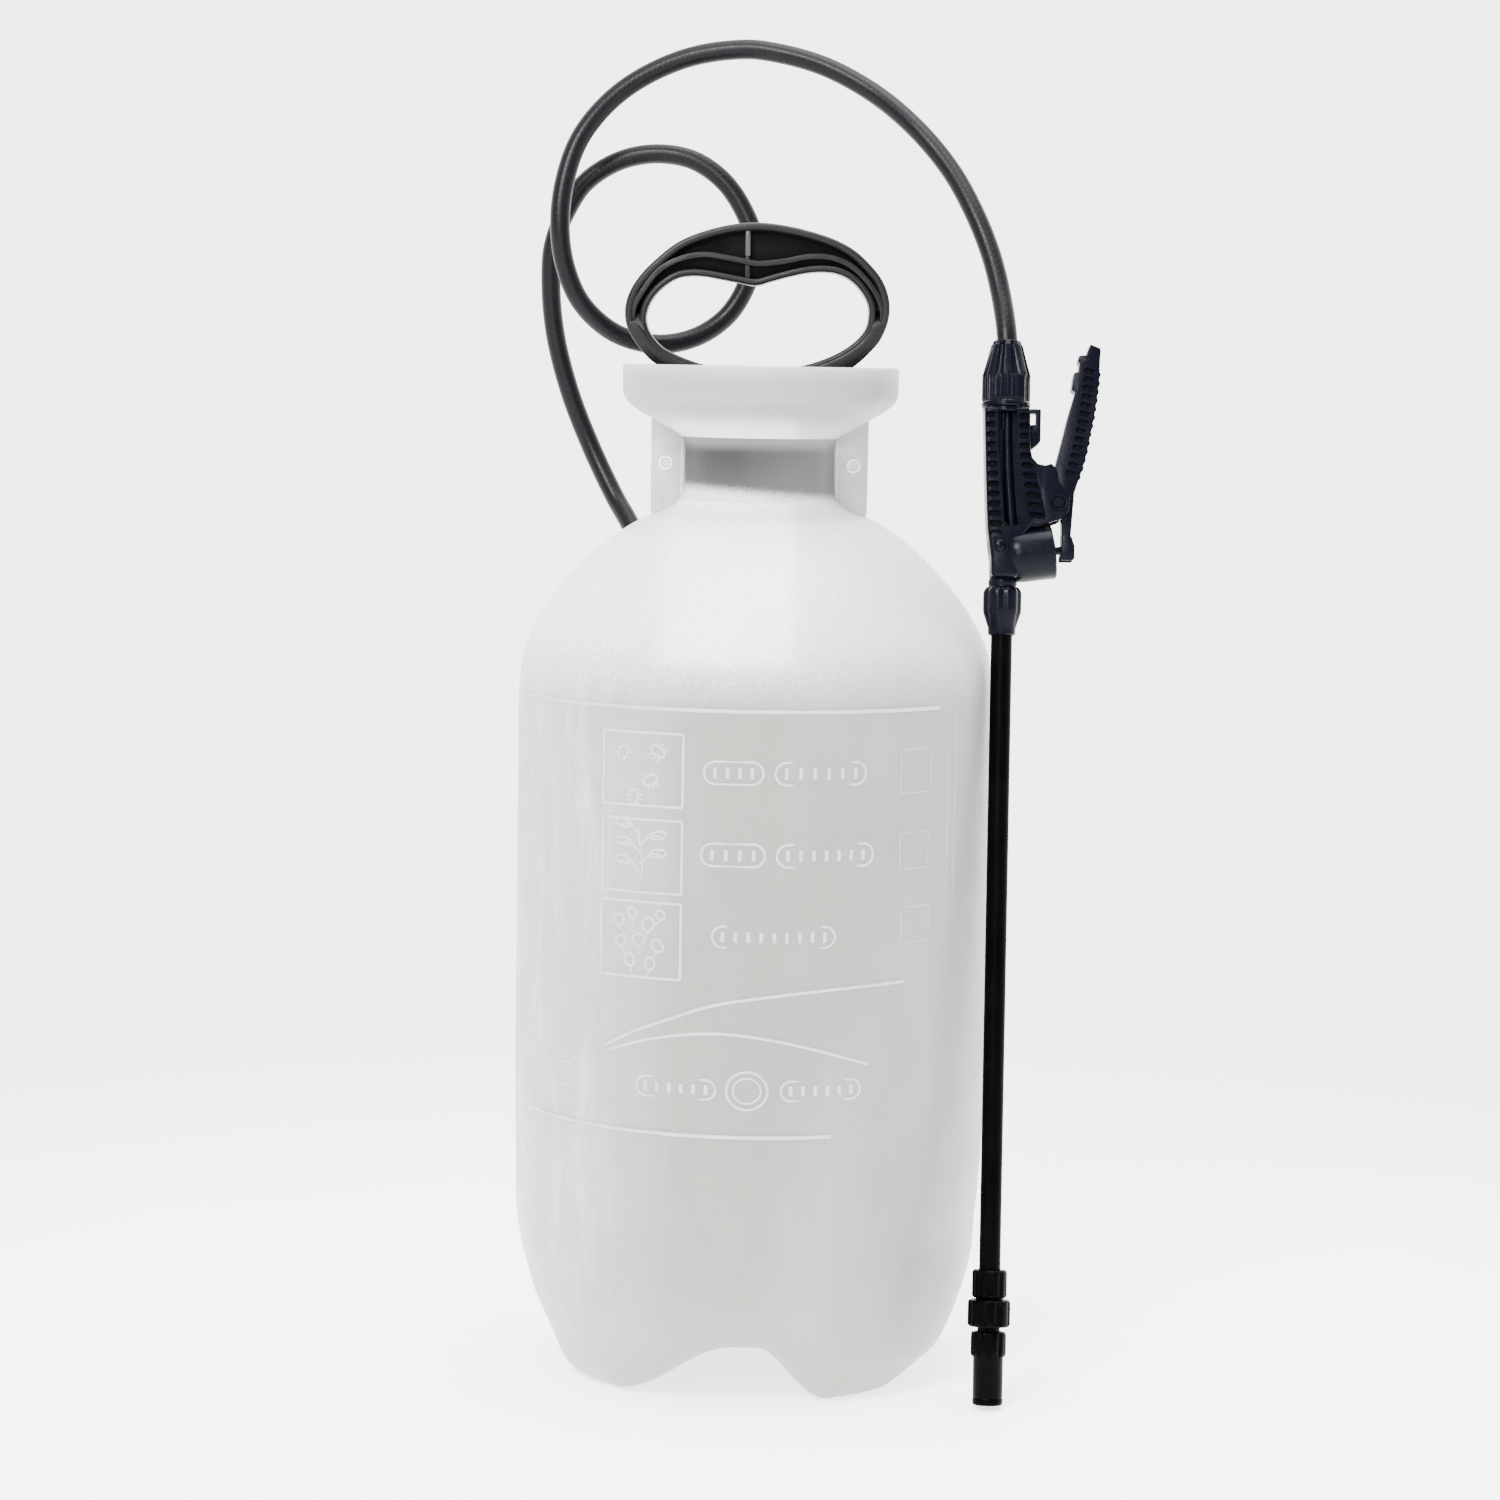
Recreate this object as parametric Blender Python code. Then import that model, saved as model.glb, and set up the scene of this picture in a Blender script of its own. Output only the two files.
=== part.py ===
"""Hand pump sprayer: blow-moulded tank, lift-out pump, hose, shut-off grip and wand.

Metres, +Z up, front toward -Y. Every dimension is in millimetres until it is scaled by MM.
"""
import math

import bpy
from mathutils import Matrix, Vector

MM = 0.001

# ---- where things stand (tank axis frame, then shifted so the box is centred on x = 0)
TANK_X = -19.7
LEAN_BACK = 9.37
LEAN_RIGHT = 0.36
WAND_FOOT = (94.9, -73.8, 1.3)

# ---- tank
TANK_R = 95.2
RIM_R = 55.2
RIM_TOP = 403.2
NECK_R = 30.0
BORE_R = 26.5
SEAT_Z = 378.5
WALL = 2.6
TANK_SEGS = 40
FOOT_AZIMUTH = 36.0
FOOT_FLAT = 9.2
FOOT_TRAIL = 51.0
FOOT_LEAD = 33.0
BASE_RISE = 18.0
WEB_HALF = 43.6
WEB_THICK = 4.6

# ---- pump
BARREL_R = 22.0
BARREL_BORE = 19.8
BARREL_FOOT_Z = 70.0
ROD_R = 6.0
CAP_R = 33.0
CAP_LOW = 380.7
CAP_TOP = 386.0
PLUNGER_Z = 98.0
HANDLE_SHIFT = -1.8

# ---- hose and outlet
HOSE_R = 4.1
OUTLET_R = 75.5
OUTLET_Z = 318.4
OUTLET_AZIMUTH = 125.2
OUTLET_RISE = 44.0

# ---- shut-off grip and wand (heights measured along the wand from its tip)
WAND_R = 4.2
GRIP_TOP = 391.7
PIVOT = (21.0, 354.0)
VALVE_FACE = (19.8, 335.3)
VALVE_TILT = 8.0
VALVE_R = 10.8

for old in list(bpy.data.objects):
    bpy.data.objects.remove(old, do_unlink=True)

scene = bpy.context.scene
collection = scene.collection


def material(name, colour, roughness, metallic=0.0):
    made = bpy.data.materials.new(name)
    made.use_nodes = True
    shader = made.node_tree.nodes["Principled BSDF"]
    shader.inputs["Base Color"].default_value = (*colour, 1.0)
    shader.inputs["Roughness"].default_value = roughness
    shader.inputs["Metallic"].default_value = metallic
    made.diffuse_color = (*colour, 1.0)
    return made


def empty(name, parent=None, location=(0, 0, 0), rotation=(0, 0, 0)):
    made = bpy.data.objects.new(name, None)
    collection.objects.link(made)
    made.parent = parent
    made.location = Vector(location) * MM
    made.rotation_euler = [math.radians(angle) for angle in rotation]
    return made


def from_mesh(name, points, faces, parent, mat, location=(0, 0, 0), rotation=(0, 0, 0)):
    mesh = bpy.data.meshes.new(name)
    mesh.from_pydata([Vector(p) * MM for p in points], [], faces)
    mesh.validate()
    mesh.shade_smooth()
    mesh.set_sharp_from_angle(angle=math.radians(35))
    mesh.materials.append(mat)
    made = bpy.data.objects.new(name, mesh)
    collection.objects.link(made)
    made.parent = parent
    made.location = Vector(location) * MM
    made.rotation_euler = [math.radians(angle) for angle in rotation]
    return made


def lathe(name, profile, parent, mat, segs=20, location=(0, 0, 0), rotation=(0, 0, 0)):
    """Turn a closed (r, z) profile about Z. Points run up the outer side and down the inner."""
    points = []
    rings = []
    for r, z in profile:
        if r < 1e-6:
            rings.append([len(points)])
            points.append((0, 0, z))
            continue
        rings.append(list(range(len(points), len(points) + segs)))
        for k in range(segs):
            angle = 2 * math.pi * k / segs
            points.append((r * math.cos(angle), r * math.sin(angle), z))
    faces = []
    count = len(profile)
    for i in range(count):
        low = rings[i]
        high = rings[(i + 1) % count]
        if len(low) == 1 and len(high) == 1:
            continue
        for k in range(segs):
            n = (k + 1) % segs
            if len(low) == 1:
                faces.append((low[0], high[n], high[k]))
            elif len(high) == 1:
                faces.append((low[k], low[n], high[0]))
            else:
                faces.append((low[k], low[n], high[n], high[k]))
    return from_mesh(name, points, faces, parent, mat, location, rotation)


def tube(name, outer, inner, low, high, parent, mat, segs=20, location=(0, 0, 0)):
    profile = [(outer, low), (outer, high), (inner, high), (inner, low)]
    return lathe(name, profile, parent, mat, segs, location)


def plate(name, outline, depth, parent, mat, location=(0, 0, 0), rotation=(0, 0, 0)):
    """Push a flat (x, z) outline, listed anticlockwise, through depth along Y."""
    count = len(outline)
    points = [(x, -depth / 2, z) for x, z in outline]
    points += [(x, depth / 2, z) for x, z in outline]
    faces = [tuple(range(count)), tuple(reversed(range(count, 2 * count)))]
    for i in range(count):
        n = (i + 1) % count
        faces.append((n, i, count + i, count + n))
    made = from_mesh(name, points, faces, parent, mat, location, rotation)
    made.data.shade_flat()
    return made


def box(name, low, high, parent, mat, rotation=(0, 0, 0)):
    outline = [(low[0], low[2]), (high[0], low[2]), (high[0], high[2]), (low[0], high[2])]
    made = plate(name, outline, high[1] - low[1], parent, mat, (0, (low[1] + high[1]) / 2, 0), rotation)
    return made


def pin(name, radius, low, high, parent, mat, x, z, segs=20):
    """A round bar along Y."""
    profile = [(0, low), (radius, low), (radius, high), (0, high)]
    return lathe(name, profile, parent, mat, segs, (x, 0, z), (-90, 0, 0))


def combine(target, tool, operation):
    tool.hide_render = True
    tool.display_type = "WIRE"
    step = target.modifiers.new(operation.lower(), "BOOLEAN")
    step.operation = operation
    step.solver = "EXACT"
    step.object = tool
    bpy.context.view_layer.update()
    depsgraph = bpy.context.evaluated_depsgraph_get()
    mesh = bpy.data.meshes.new_from_object(target.evaluated_get(depsgraph))
    target.modifiers.clear()
    target.data = mesh
    bpy.data.objects.remove(tool, do_unlink=True)


def rounded(route, steps):
    """Centripetal curve through the route, read every few millimetres."""
    knots = [Vector(p) for p in route]
    knots = [2 * knots[0] - knots[1]] + knots + [2 * knots[-1] - knots[-2]]
    dense = []
    for i in range(1, len(knots) - 2):
        p0, p1, p2, p3 = knots[i - 1:i + 3]
        t0 = 0.0
        t1 = t0 + (p1 - p0).length ** 0.5
        t2 = t1 + (p2 - p1).length ** 0.5
        t3 = t2 + (p3 - p2).length ** 0.5
        for k in range(24):
            t = t1 + (t2 - t1) * k / 24
            a1 = p0 * (t1 - t) / (t1 - t0) + p1 * (t - t0) / (t1 - t0)
            a2 = p1 * (t2 - t) / (t2 - t1) + p2 * (t - t1) / (t2 - t1)
            a3 = p2 * (t3 - t) / (t3 - t2) + p3 * (t - t2) / (t3 - t2)
            b1 = a1 * (t2 - t) / (t2 - t0) + a2 * (t - t0) / (t2 - t0)
            b2 = a2 * (t3 - t) / (t3 - t1) + a3 * (t - t1) / (t3 - t1)
            dense.append(b1 * (t2 - t) / (t2 - t1) + b2 * (t - t1) / (t2 - t1))
    dense.append(knots[-2])
    lengths = [0.0]
    for a, b in zip(dense, dense[1:]):
        lengths.append(lengths[-1] + (b - a).length)
    points = []
    j = 0
    for k in range(steps + 1):
        want = lengths[-1] * k / steps
        while j < len(lengths) - 2 and lengths[j + 1] < want:
            j += 1
        span = lengths[j + 1] - lengths[j]
        points.append(dense[j].lerp(dense[j + 1], (want - lengths[j]) / span))
    inner = [a.lerp(c, 0.5).lerp(b, 0.5) for a, b, c in zip(points, points[1:], points[2:])]
    return points[:2] + inner[1:-1] + points[-2:]


def round_bar(name, points, radius, parent, mat, resolution=2):
    curve = bpy.data.curves.new(name, "CURVE")
    curve.dimensions = "3D"
    curve.bevel_depth = radius * MM
    curve.bevel_resolution = resolution
    curve.use_fill_caps = True
    line = curve.splines.new("POLY")
    line.points.add(len(points) - 1)
    for knot, p in zip(line.points, points):
        knot.co = (p[0] * MM, p[1] * MM, p[2] * MM, 1.0)
    line.use_smooth = True
    curve.materials.append(mat)
    made = bpy.data.objects.new(name, curve)
    collection.objects.link(made)
    made.parent = parent
    return made


HDPE = material("tank_hdpe", (0.86, 0.88, 0.86), 0.42)
BLACK = material("black_nylon", (0.022, 0.024, 0.03), 0.38)
HANDLE = material("handle_black", (0.035, 0.037, 0.042), 0.45)
HOSE = material("hose_black", (0.04, 0.042, 0.042), 0.6)
RUBBER = material("seal_rubber", (0.02, 0.02, 0.02), 0.75)
PUMP = material("pump_black", (0.04, 0.042, 0.045), 0.45)
CLEAR = material("dip_tube_pe", (0.8, 0.82, 0.82), 0.4)
STEEL = material("spring_steel", (0.6, 0.6, 0.62), 0.3, 1.0)

sprayer = empty("sprayer", None, (TANK_X, 0, 0))

# ---------------------------------------------------------------- tank
# each ring: radius and height over a foot, then over the valley between two feet
BASE_RINGS = [
    (14, 18, 14, 18), (34, 14.5, 34, 18.2), (50, 7, 50, 19), (58, 2, 60, 20),
    (63.5, 0, 67, 21), (71.5, 0, 73.5, 22.5), (76, 2.4, 77.5, 25), (79.4, 6.5, 80.5, 29),
    (82.4, 13.5, 83.6, 34), (85.6, 23, 87.0, 41), (88.7, 35.5, 89.8, 49), (91.4, 50, 91.9, 59),
]
SIDE = [
    (93.3, 68), (94.6, 88), (TANK_R, 125), (TANK_R, 190), (TANK_R, 272), (94.4, 283),
    (92.2, 292), (88.6, 300), (84.4, 306.5), (80.0, 313), (73.6, 320.3), (66.4, 327.6),
    (58.6, 334.4), (52.0, 339), (44.4, 343), (37, 345.6), (32.2, 348.4), (NECK_R, 353),
    (NECK_R, 372), (31.8, 375.3), (38, 378.8), (45.1, 383.8), (51.5, 388.4), (54.6, 391),
    (RIM_R, 393.5), (RIM_R, RIM_TOP - 1), (RIM_R - 0.9, RIM_TOP), (RIM_R - 2.6, RIM_TOP),
    (RIM_R - 3.4, RIM_TOP - 1), (RIM_R - 3.4, 395.5), (49.2, 391), (42, 385.6), (36.5, 381),
    (34.4, SEAT_Z), (BORE_R, SEAT_Z), (BORE_R, 352),
]
INSIDE = [
    (BORE_R + 1.2, 347.5), (36, 342.6), (50.6, 336.8), (64.6, 325.6), (77.7, 311),
    (86.2, 298.6), (91.9, 282), (TANK_R - WALL, 268), (TANK_R - WALL, 125), (91.9, 86), (90.6, 68),
]
LOW_INSIDE = [
    (88.8, 50.5, 89.3, 60), (82.8, 24, 83.8, 43), (75.4, 5.6, 74.5, 26.5),
    (70.6, 2.7, 66, 23.8), (64.5, 2.7, 58, 22.8), (51.5, 9.4, 50, 21.6), (34, 17.2, 34, 20.9),
    (14, 20.7, 14, 20.7),
]


def foot_share(azimuth):
    """How much of a foot there is: steep on one side, a long slope on the other."""
    past = (math.degrees(azimuth) - FOOT_AZIMUTH) % 90
    after = (FOOT_TRAIL - past) / (FOOT_TRAIL - FOOT_FLAT)
    before = (past - 90 + FOOT_LEAD) / (FOOT_LEAD - FOOT_FLAT)
    share = min(1.0, max(0.0, after, before))
    return share * share * (3 - 2 * share)


rings = [ring for ring in BASE_RINGS]
rings += [(r, z, r, z) for r, z in SIDE]
rings += [(r, z, r, z) for r, z in INSIDE]
rings += [ring for ring in LOW_INSIDE]
tank_points = [(0, 0, BASE_RISE)]
for foot_r, foot_z, valley_r, valley_z in rings:
    for k in range(TANK_SEGS):
        azimuth = math.radians(FOOT_AZIMUTH) + 2 * math.pi * k / TANK_SEGS
        share = foot_share(azimuth)
        r = valley_r + (foot_r - valley_r) * share
        z = valley_z + (foot_z - valley_z) * share
        tank_points.append((r * math.sin(azimuth), -r * math.cos(azimuth), z))
tank_points.append((0, 0, BASE_RISE + WALL))
tank_faces = []
last = len(tank_points) - 1
for k in range(TANK_SEGS):
    n = (k + 1) % TANK_SEGS
    tank_faces.append((0, 1 + n, 1 + k))
    top = 1 + (len(rings) - 1) * TANK_SEGS
    tank_faces.append((top + k, top + n, last))
    for i in range(len(rings) - 1):
        a = 1 + i * TANK_SEGS
        b = a + TANK_SEGS
        tank_faces.append((a + k, a + n, b + n, b + k))
tank = from_mesh("tank", tank_points, tank_faces, sprayer, HDPE)

for side in (-1, 1):
    outline = [
        (side * 28.4, 350.5), (side * 36, 344.3), (side * (WEB_HALF - 0.2), 341.9),
        (side * WEB_HALF, 352), (side * WEB_HALF, 383.4), (side * 34, 377.2), (side * 28.4, 377),
    ]
    if side < 0:
        outline.reverse()
    web = plate("web", outline, WEB_THICK, sprayer, HDPE)
    combine(tank, web, "UNION")

outlet = empty(
    "outlet_frame", sprayer,
    (OUTLET_R * math.cos(math.radians(OUTLET_AZIMUTH)),
     OUTLET_R * math.sin(math.radians(OUTLET_AZIMUTH)), OUTLET_Z),
    (0, 90 - OUTLET_RISE, OUTLET_AZIMUTH))
spot_face = lathe("spot_face", [(0, 0.2), (11.5, 0.2), (11.5, 12), (0, 12)], outlet, HDPE, 24)
combine(tank, spot_face, "DIFFERENCE")
boss = lathe("boss", [(0, -2.2), (10.9, -2.2), (10.9, 0.4), (0, 0.4)], outlet, HDPE, 24)
combine(tank, boss, "UNION")
bore = lathe("bore", [(0, -14), (6.8, -14), (6.8, 12), (0, 12)], outlet, HDPE, 24)
combine(tank, bore, "DIFFERENCE")
tank.data.shade_smooth()
tank.data.set_sharp_from_angle(angle=math.radians(35))

# ---------------------------------------------------------------- outlet at the back of the shoulder
tube("outlet_gasket", 10.2, 6.9, 0.7, 2.4, outlet, RUBBER)
lathe("outlet_fitting", [
    (6.3, -12), (6.3, 2.4), (6.3, 2.7), (9.6, 2.7), (9.6, 6.4), (5.2, 6.4), (5.2, 10), (2.0, 10),
    (2.0, -12)], outlet, BLACK)
tube("outlet_locknut", 9.6, 6.6, -8.6, -4.8, outlet, BLACK, 20)
lathe("tank_hose_nut", [
    (9.0, 6.7), (9.0, 13), (6.4, 20), (4.5, 20), (4.5, 10.3), (5.5, 10.3), (5.5, 6.7)], outlet, BLACK)

lean_in = math.cos(math.radians(OUTLET_RISE))
rise = math.sin(math.radians(OUTLET_RISE))


def at_outlet(out, sideways=0.0):
    """A point along the outlet's own axis, in the tank's frame."""
    r = OUTLET_R + out * lean_in
    a = math.radians(OUTLET_AZIMUTH)
    return (r * math.cos(a) - sideways * math.sin(a), r * math.sin(a) + sideways * math.cos(a),
            OUTLET_Z + out * rise)


def down_tube(radius, z):
    a = math.radians(OUTLET_AZIMUTH)
    return (radius * math.cos(a), radius * math.sin(a), z)


dip_route = [
    at_outlet(-12.3), at_outlet(-17), down_tube(55.5, 296), down_tube(49.5, 282),
    down_tube(46.5, 262), down_tube(46, 200), down_tube(46, 120), down_tube(46, 52), down_tube(46, 40.3)]
round_bar("supply_tube", rounded(dip_route, 26), 3.6, sprayer, CLEAR)
lathe("strainer", [
    (0, 25), (5.4, 25), (6.2, 26), (6.2, 44), (3.95, 44), (3.95, 40), (0, 40)],
    sprayer, CLEAR, 20, down_tube(46, 0))

# ---------------------------------------------------------------- pump
pump = empty("pump_frame", sprayer)
tube("pump_gasket", 32.4, 27.2, SEAT_Z + 0.3, CAP_LOW - 0.3, pump, RUBBER, 32)
lathe("pump_cap", [
    (22.3, 352), (25.8, 352), (25.8, CAP_LOW), (CAP_R, CAP_LOW), (CAP_R, CAP_TOP - 2.2),
    (CAP_R - 2.2, CAP_TOP), (9.3, CAP_TOP), (9.3, 374), (22.3, 374)], pump, PUMP, 32)
tube("pump_barrel", BARREL_R, BARREL_BORE, BARREL_FOOT_Z + 8, 373.7, pump, PUMP, 28)
lathe("rod_guide", [
    (15, 371), (15, 373.7), (9.0, 373.7), (9.0, CAP_TOP + 0.3), (6.4, CAP_TOP + 0.3), (6.4, 371)],
    pump, BLACK, 24)
lathe("barrel_foot", [
    (BARREL_R, BARREL_FOOT_Z), (BARREL_R, BARREL_FOOT_Z + 7.7), (3.1, BARREL_FOOT_Z + 7.7),
    (3.1, BARREL_FOOT_Z)], pump, BLACK, 28)
lathe("check_valve", [
    (0, 66), (12, 66.6), (12, 68.6), (10, 69.6), (2.5, 69.6), (2.5, 79.6), (4.0, 79.9), (4.0, 81),
    (0, 82)], pump, RUBBER, 20)
lathe("pump_rod", [(0, 104.4), (ROD_R, 104.4), (ROD_R, 396), (0, 396)], pump, BLACK, 24)
lathe("plunger_head_upper", [
    (18.8, 112), (18.8, 117), (16, 118.5), (6.3, 118.5), (6.3, 112)], pump, BLACK, 28)
lathe("cup_seal", [
    (18.1, 102), (19.4, 102), (19.5, 108.5), (18.8, 111.7), (6.3, 111.7), (6.3, 108.6), (18.0, 108.6)],
    pump, RUBBER, 28)
lathe("plunger_head_lower", [
    (0, PLUNGER_Z), (15, PLUNGER_Z), (17, PLUNGER_Z + 2), (17, 108.3), (6.3, 108.3), (6.3, 104.1),
    (0, 104.1)], pump, BLACK, 24)

# ---------------------------------------------------------------- pump handle
# half outlines of the ring: x, z
HANDLE_OUT = [
    (0, 459.6), (10, 459.2), (21, 456.4), (31, 452.6), (40, 446.4), (47.4, 438.4), (51.4, 431),
    (52.4, 425.6), (51.6, 419.6), (48.8, 413.7), (44.4, 408.2), (37, 402.4), (17, 395.4), (0, 394.0)]
HANDLE_IN = [
    (0, 434.2), (8, 436.0), (16, 438.0), (24, 439.3), (31.4, 438.8), (36.2, 436.2), (40.8, 432.1),
    (43.8, 427), (44.1, 421.6), (43, 417.4), (39.2, 412.8), (33, 408.4), (19, 403), (0, 400.8)]


def mirrored(half):
    """Both halves of an outline, about the handle's own middle."""
    whole = half + [(-x, z) for x, z in reversed(half[1:-1])]
    return [(x + HANDLE_SHIFT, z) for x, z in whole]


def ring_plate(name, outer, inner, depth, parent, mat):
    """A flat ring between two outlines with the same count of points, both listed clockwise."""
    count = len(outer)
    points = []
    for y in (-depth / 2, depth / 2):
        points += [(x, y, z) for x, z in outer]
        points += [(x, y, z) for x, z in inner]
    faces = []
    back = 2 * count
    for i in range(count):
        n = (i + 1) % count
        faces.append((i, count + i, count + n, n))
        faces.append((back + i, back + n, back + count + n, back + count + i))
        faces.append((i, n, back + n, back + i))
        faces.append((count + i, back + count + i, back + count + n, count + n))
    return from_mesh(name, points, faces, parent, mat)


handle = ring_plate("pump_handle", mirrored(HANDLE_OUT), mirrored(HANDLE_IN), 21.0, pump, HANDLE)
hub = lathe("hub", [(0, 386.8), (12.5, 386.8), (12.5, 397.4), (0, 397.4)], pump, HANDLE, 24)
combine(handle, hub, "UNION")
socket = lathe("socket", [(0, 380), (6.3, 380), (6.3, 396.4), (0, 396.4)], pump, HANDLE, 24)
combine(handle, socket, "DIFFERENCE")
handle.data.shade_flat()

# ---------------------------------------------------------------- wand group
wand = empty("wand_frame", sprayer, WAND_FOOT, (-LEAN_BACK, LEAN_RIGHT, 0))
tube("wand_tube", WAND_R, 2.2, 43.2, 311, wand, BLACK, 20)
lathe("wand_nut", [
    (5.4, 301.5), (7.6, 309), (7.6, 320.6), (5.8, 320.6), (5.8, 311.4), (4.6, 311.4), (4.6, 301.5)],
    wand, BLACK)
tube("wand_seal", 5.5, 4.5, 311.7, 313.6, wand, RUBBER)
lathe("nozzle_nut", [
    (6.8, 41.6), (6.8, 52.4), (4.5, 52.4), (4.5, 48.6), (5.7, 48.6), (5.7, 41.6)], wand, BLACK)
lathe("nozzle_body", [
    (4.4, 13.5), (4.4, 30.3), (8.2, 30.3), (8.2, 40.9), (5.4, 40.9), (5.4, 48.2), (4.5, 48.2),
    (4.5, 42.9), (2.9, 42.9), (2.9, 13.5)], wand, BLACK)
lathe("nozzle_core", [(0, 11), (2.2, 11), (2.6, 14), (2.6, 28), (0, 28)], wand, BLACK, 16)
tube("nozzle_oring", 5.0, 4.7, 21, 22.8, wand, RUBBER)
lathe("nozzle_cap", [
    (1.2, -0.1), (5.9, -0.1), (5.9, 18.8), (6.9, 19.2), (6.9, 28.4), (5.3, 28.4), (5.3, 9.4),
    (3.2, 9.4), (1.2, 6)], wand, BLACK)

lathe("gun_hose_nut", [
    (9.7, GRIP_TOP + 0.3), (9.7, 404), (7.2, 411), (5.9, 418.7), (5.0, 418.7), (4.5, 410), (4.5, 404),
    (6.4, 402), (6.4, GRIP_TOP + 0.3)], wand, BLACK)
lathe("gun_hose_barb", [
    (4.2, 383), (4.2, GRIP_TOP + 1), (5.9, GRIP_TOP + 1), (5.9, 396), (3.9, 398), (3.9, 403.2),
    (1.8, 403.2), (1.8, 383)], wand, BLACK)
lathe("gun_filter", [(0, 352), (3.2, 352), (3.2, 381), (1.6, 382.6), (1.6, 372), (0, 372)], wand, CLEAR, 16)

GRIP_OUTLINE = [
    (-5.3, 329), (5.9, 329), (6.6, 335), (15.5, 343), (25.2, 349), (26, 355), (23.4, 359.4),
    (19.5, 361.5), (16.8, 367.6), (14, 369), (10.6, 370), (10, 376), (14.0, 376.4), (14.0, GRIP_TOP),
    (-8.6, GRIP_TOP), (-8.6, 376), (-6.6, 352), (-5.2, 338)]
grip = plate("gun_body", GRIP_OUTLINE, 17.0, wand, BLACK)
hook_gap = box("hook_gap", (9.8, -12, 378.6), (11.8, 12, 390.2), wand, BLACK)
combine(grip, hook_gap, "DIFFERENCE")
hook_side = box("hook_side", (9.8, -12, 370.5), (30, -2.6, 395), wand, BLACK)
combine(grip, hook_side, "DIFFERENCE")
hook_side = box("hook_side", (9.8, 2.6, 370.5), (30, 12, 395), wand, BLACK)
combine(grip, hook_side, "DIFFERENCE")
valve_frame = empty("valve_frame", wand, (VALVE_FACE[0], 0, VALVE_FACE[1]), (0, 90 - VALVE_TILT, 0))
barrel = lathe("barrel", [
    (0, -22), (VALVE_R, -22), (VALVE_R, 0), (0, 0)], valve_frame, BLACK, 28)
combine(grip, barrel, "UNION")
spigot = lathe("spigot", [(0, 313.9), (5.5, 313.9), (5.5, 334), (0, 334)], wand, BLACK, 24)
combine(grip, spigot, "UNION")
lever_gap = box("lever_gap", (15.6, -5.6, 344.8), (40, 5.6, 373), wand, BLACK)
combine(grip, lever_gap, "DIFFERENCE")
chamber = lathe("chamber", [(0, -19), (6.2, -19), (6.2, 2), (0, 2)], valve_frame, BLACK, 24)
combine(grip, chamber, "DIFFERENCE")
passage = lathe("passage", [(0, 300), (1.8, 300), (1.8, 332), (0, 332)], wand, BLACK, 16)
combine(grip, passage, "DIFFERENCE")
flow = lathe("flow", [(0, 340), (3.6, 340), (3.6, 382), (4.6, 383), (4.6, 395), (0, 395)], wand, BLACK, 20)
combine(grip, flow, "DIFFERENCE")
pin_hole = pin("pin_hole", 2.3, -12, 12, wand, BLACK, *PIVOT)
combine(grip, pin_hole, "DIFFERENCE")
grip.data.shade_flat()

lathe("valve_gland", [(5.9, -3.4), (5.9, 0.6), (2.0, 0.6), (2.0, -3.4)], valve_frame, BLACK)
lathe("valve_stem", [
    (0, -17.6), (1.9, -17.6), (1.9, -16.4), (5.6, -16.4), (5.6, -14.2), (1.6, -14.2), (1.6, 7.8),
    (3.4, 7.8), (3.4, 9.4), (0, 9.4)], valve_frame, STEEL, 20)
tube("valve_oring", 5.0, 2.2, -18.6, -16.7, valve_frame, RUBBER, 20)
SPRING_TURNS = 4
spring_points = []
for k in range(SPRING_TURNS * 10 + 1):
    turn = 2 * math.pi * k / 10
    spring_points.append(Vector((4.2 * math.cos(turn), 4.2 * math.sin(turn),
                                 -13.3 + 9.0 * k / (SPRING_TURNS * 10))))
round_bar("valve_spring", spring_points, 0.4, valve_frame, STEEL, 0)

pin("lever_pin", 2.0, -8.4, 8.4, wand, STEEL, *PIVOT)
LEVER_OUTLINE = [
    (23.4, 333), (27.0, 332.7), (26.4, 339), (26.8, 348), (27.3, 355.4), (28.0, 361.4),
    (30.7, 369.4), (33.7, 380.7), (35.1, 390.9), (36.9, 402.3), (37.0, 415.9), (33.0, 417.9),
    (31.2, 410.2), (28.0, 398.5), (25.2, 388), (20.9, 372), (17.6, 358), (17.4, 351),
    (20, 348.4), (23.2, 347.8)]
lever = plate("trigger_lever", LEVER_OUTLINE, 10.4, wand, BLACK)
lever_hole = pin("lever_hole", 2.3, -12, 12, wand, BLACK, *PIVOT)
combine(lever, lever_hole, "DIFFERENCE")
fork_gap = box("fork_gap", (20, -2.3, 325), (30, 2.3, 341.5), wand, BLACK)
combine(lever, fork_gap, "DIFFERENCE")
lever.data.shade_flat()

# ---------------------------------------------------------------- hose
bpy.context.view_layer.update()
to_tank = sprayer.matrix_world.inverted() @ wand.matrix_world


def at_wand(x, z):
    point = to_tank @ (Vector((x, 0, z)) * MM)
    return tuple(point / MM)


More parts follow.
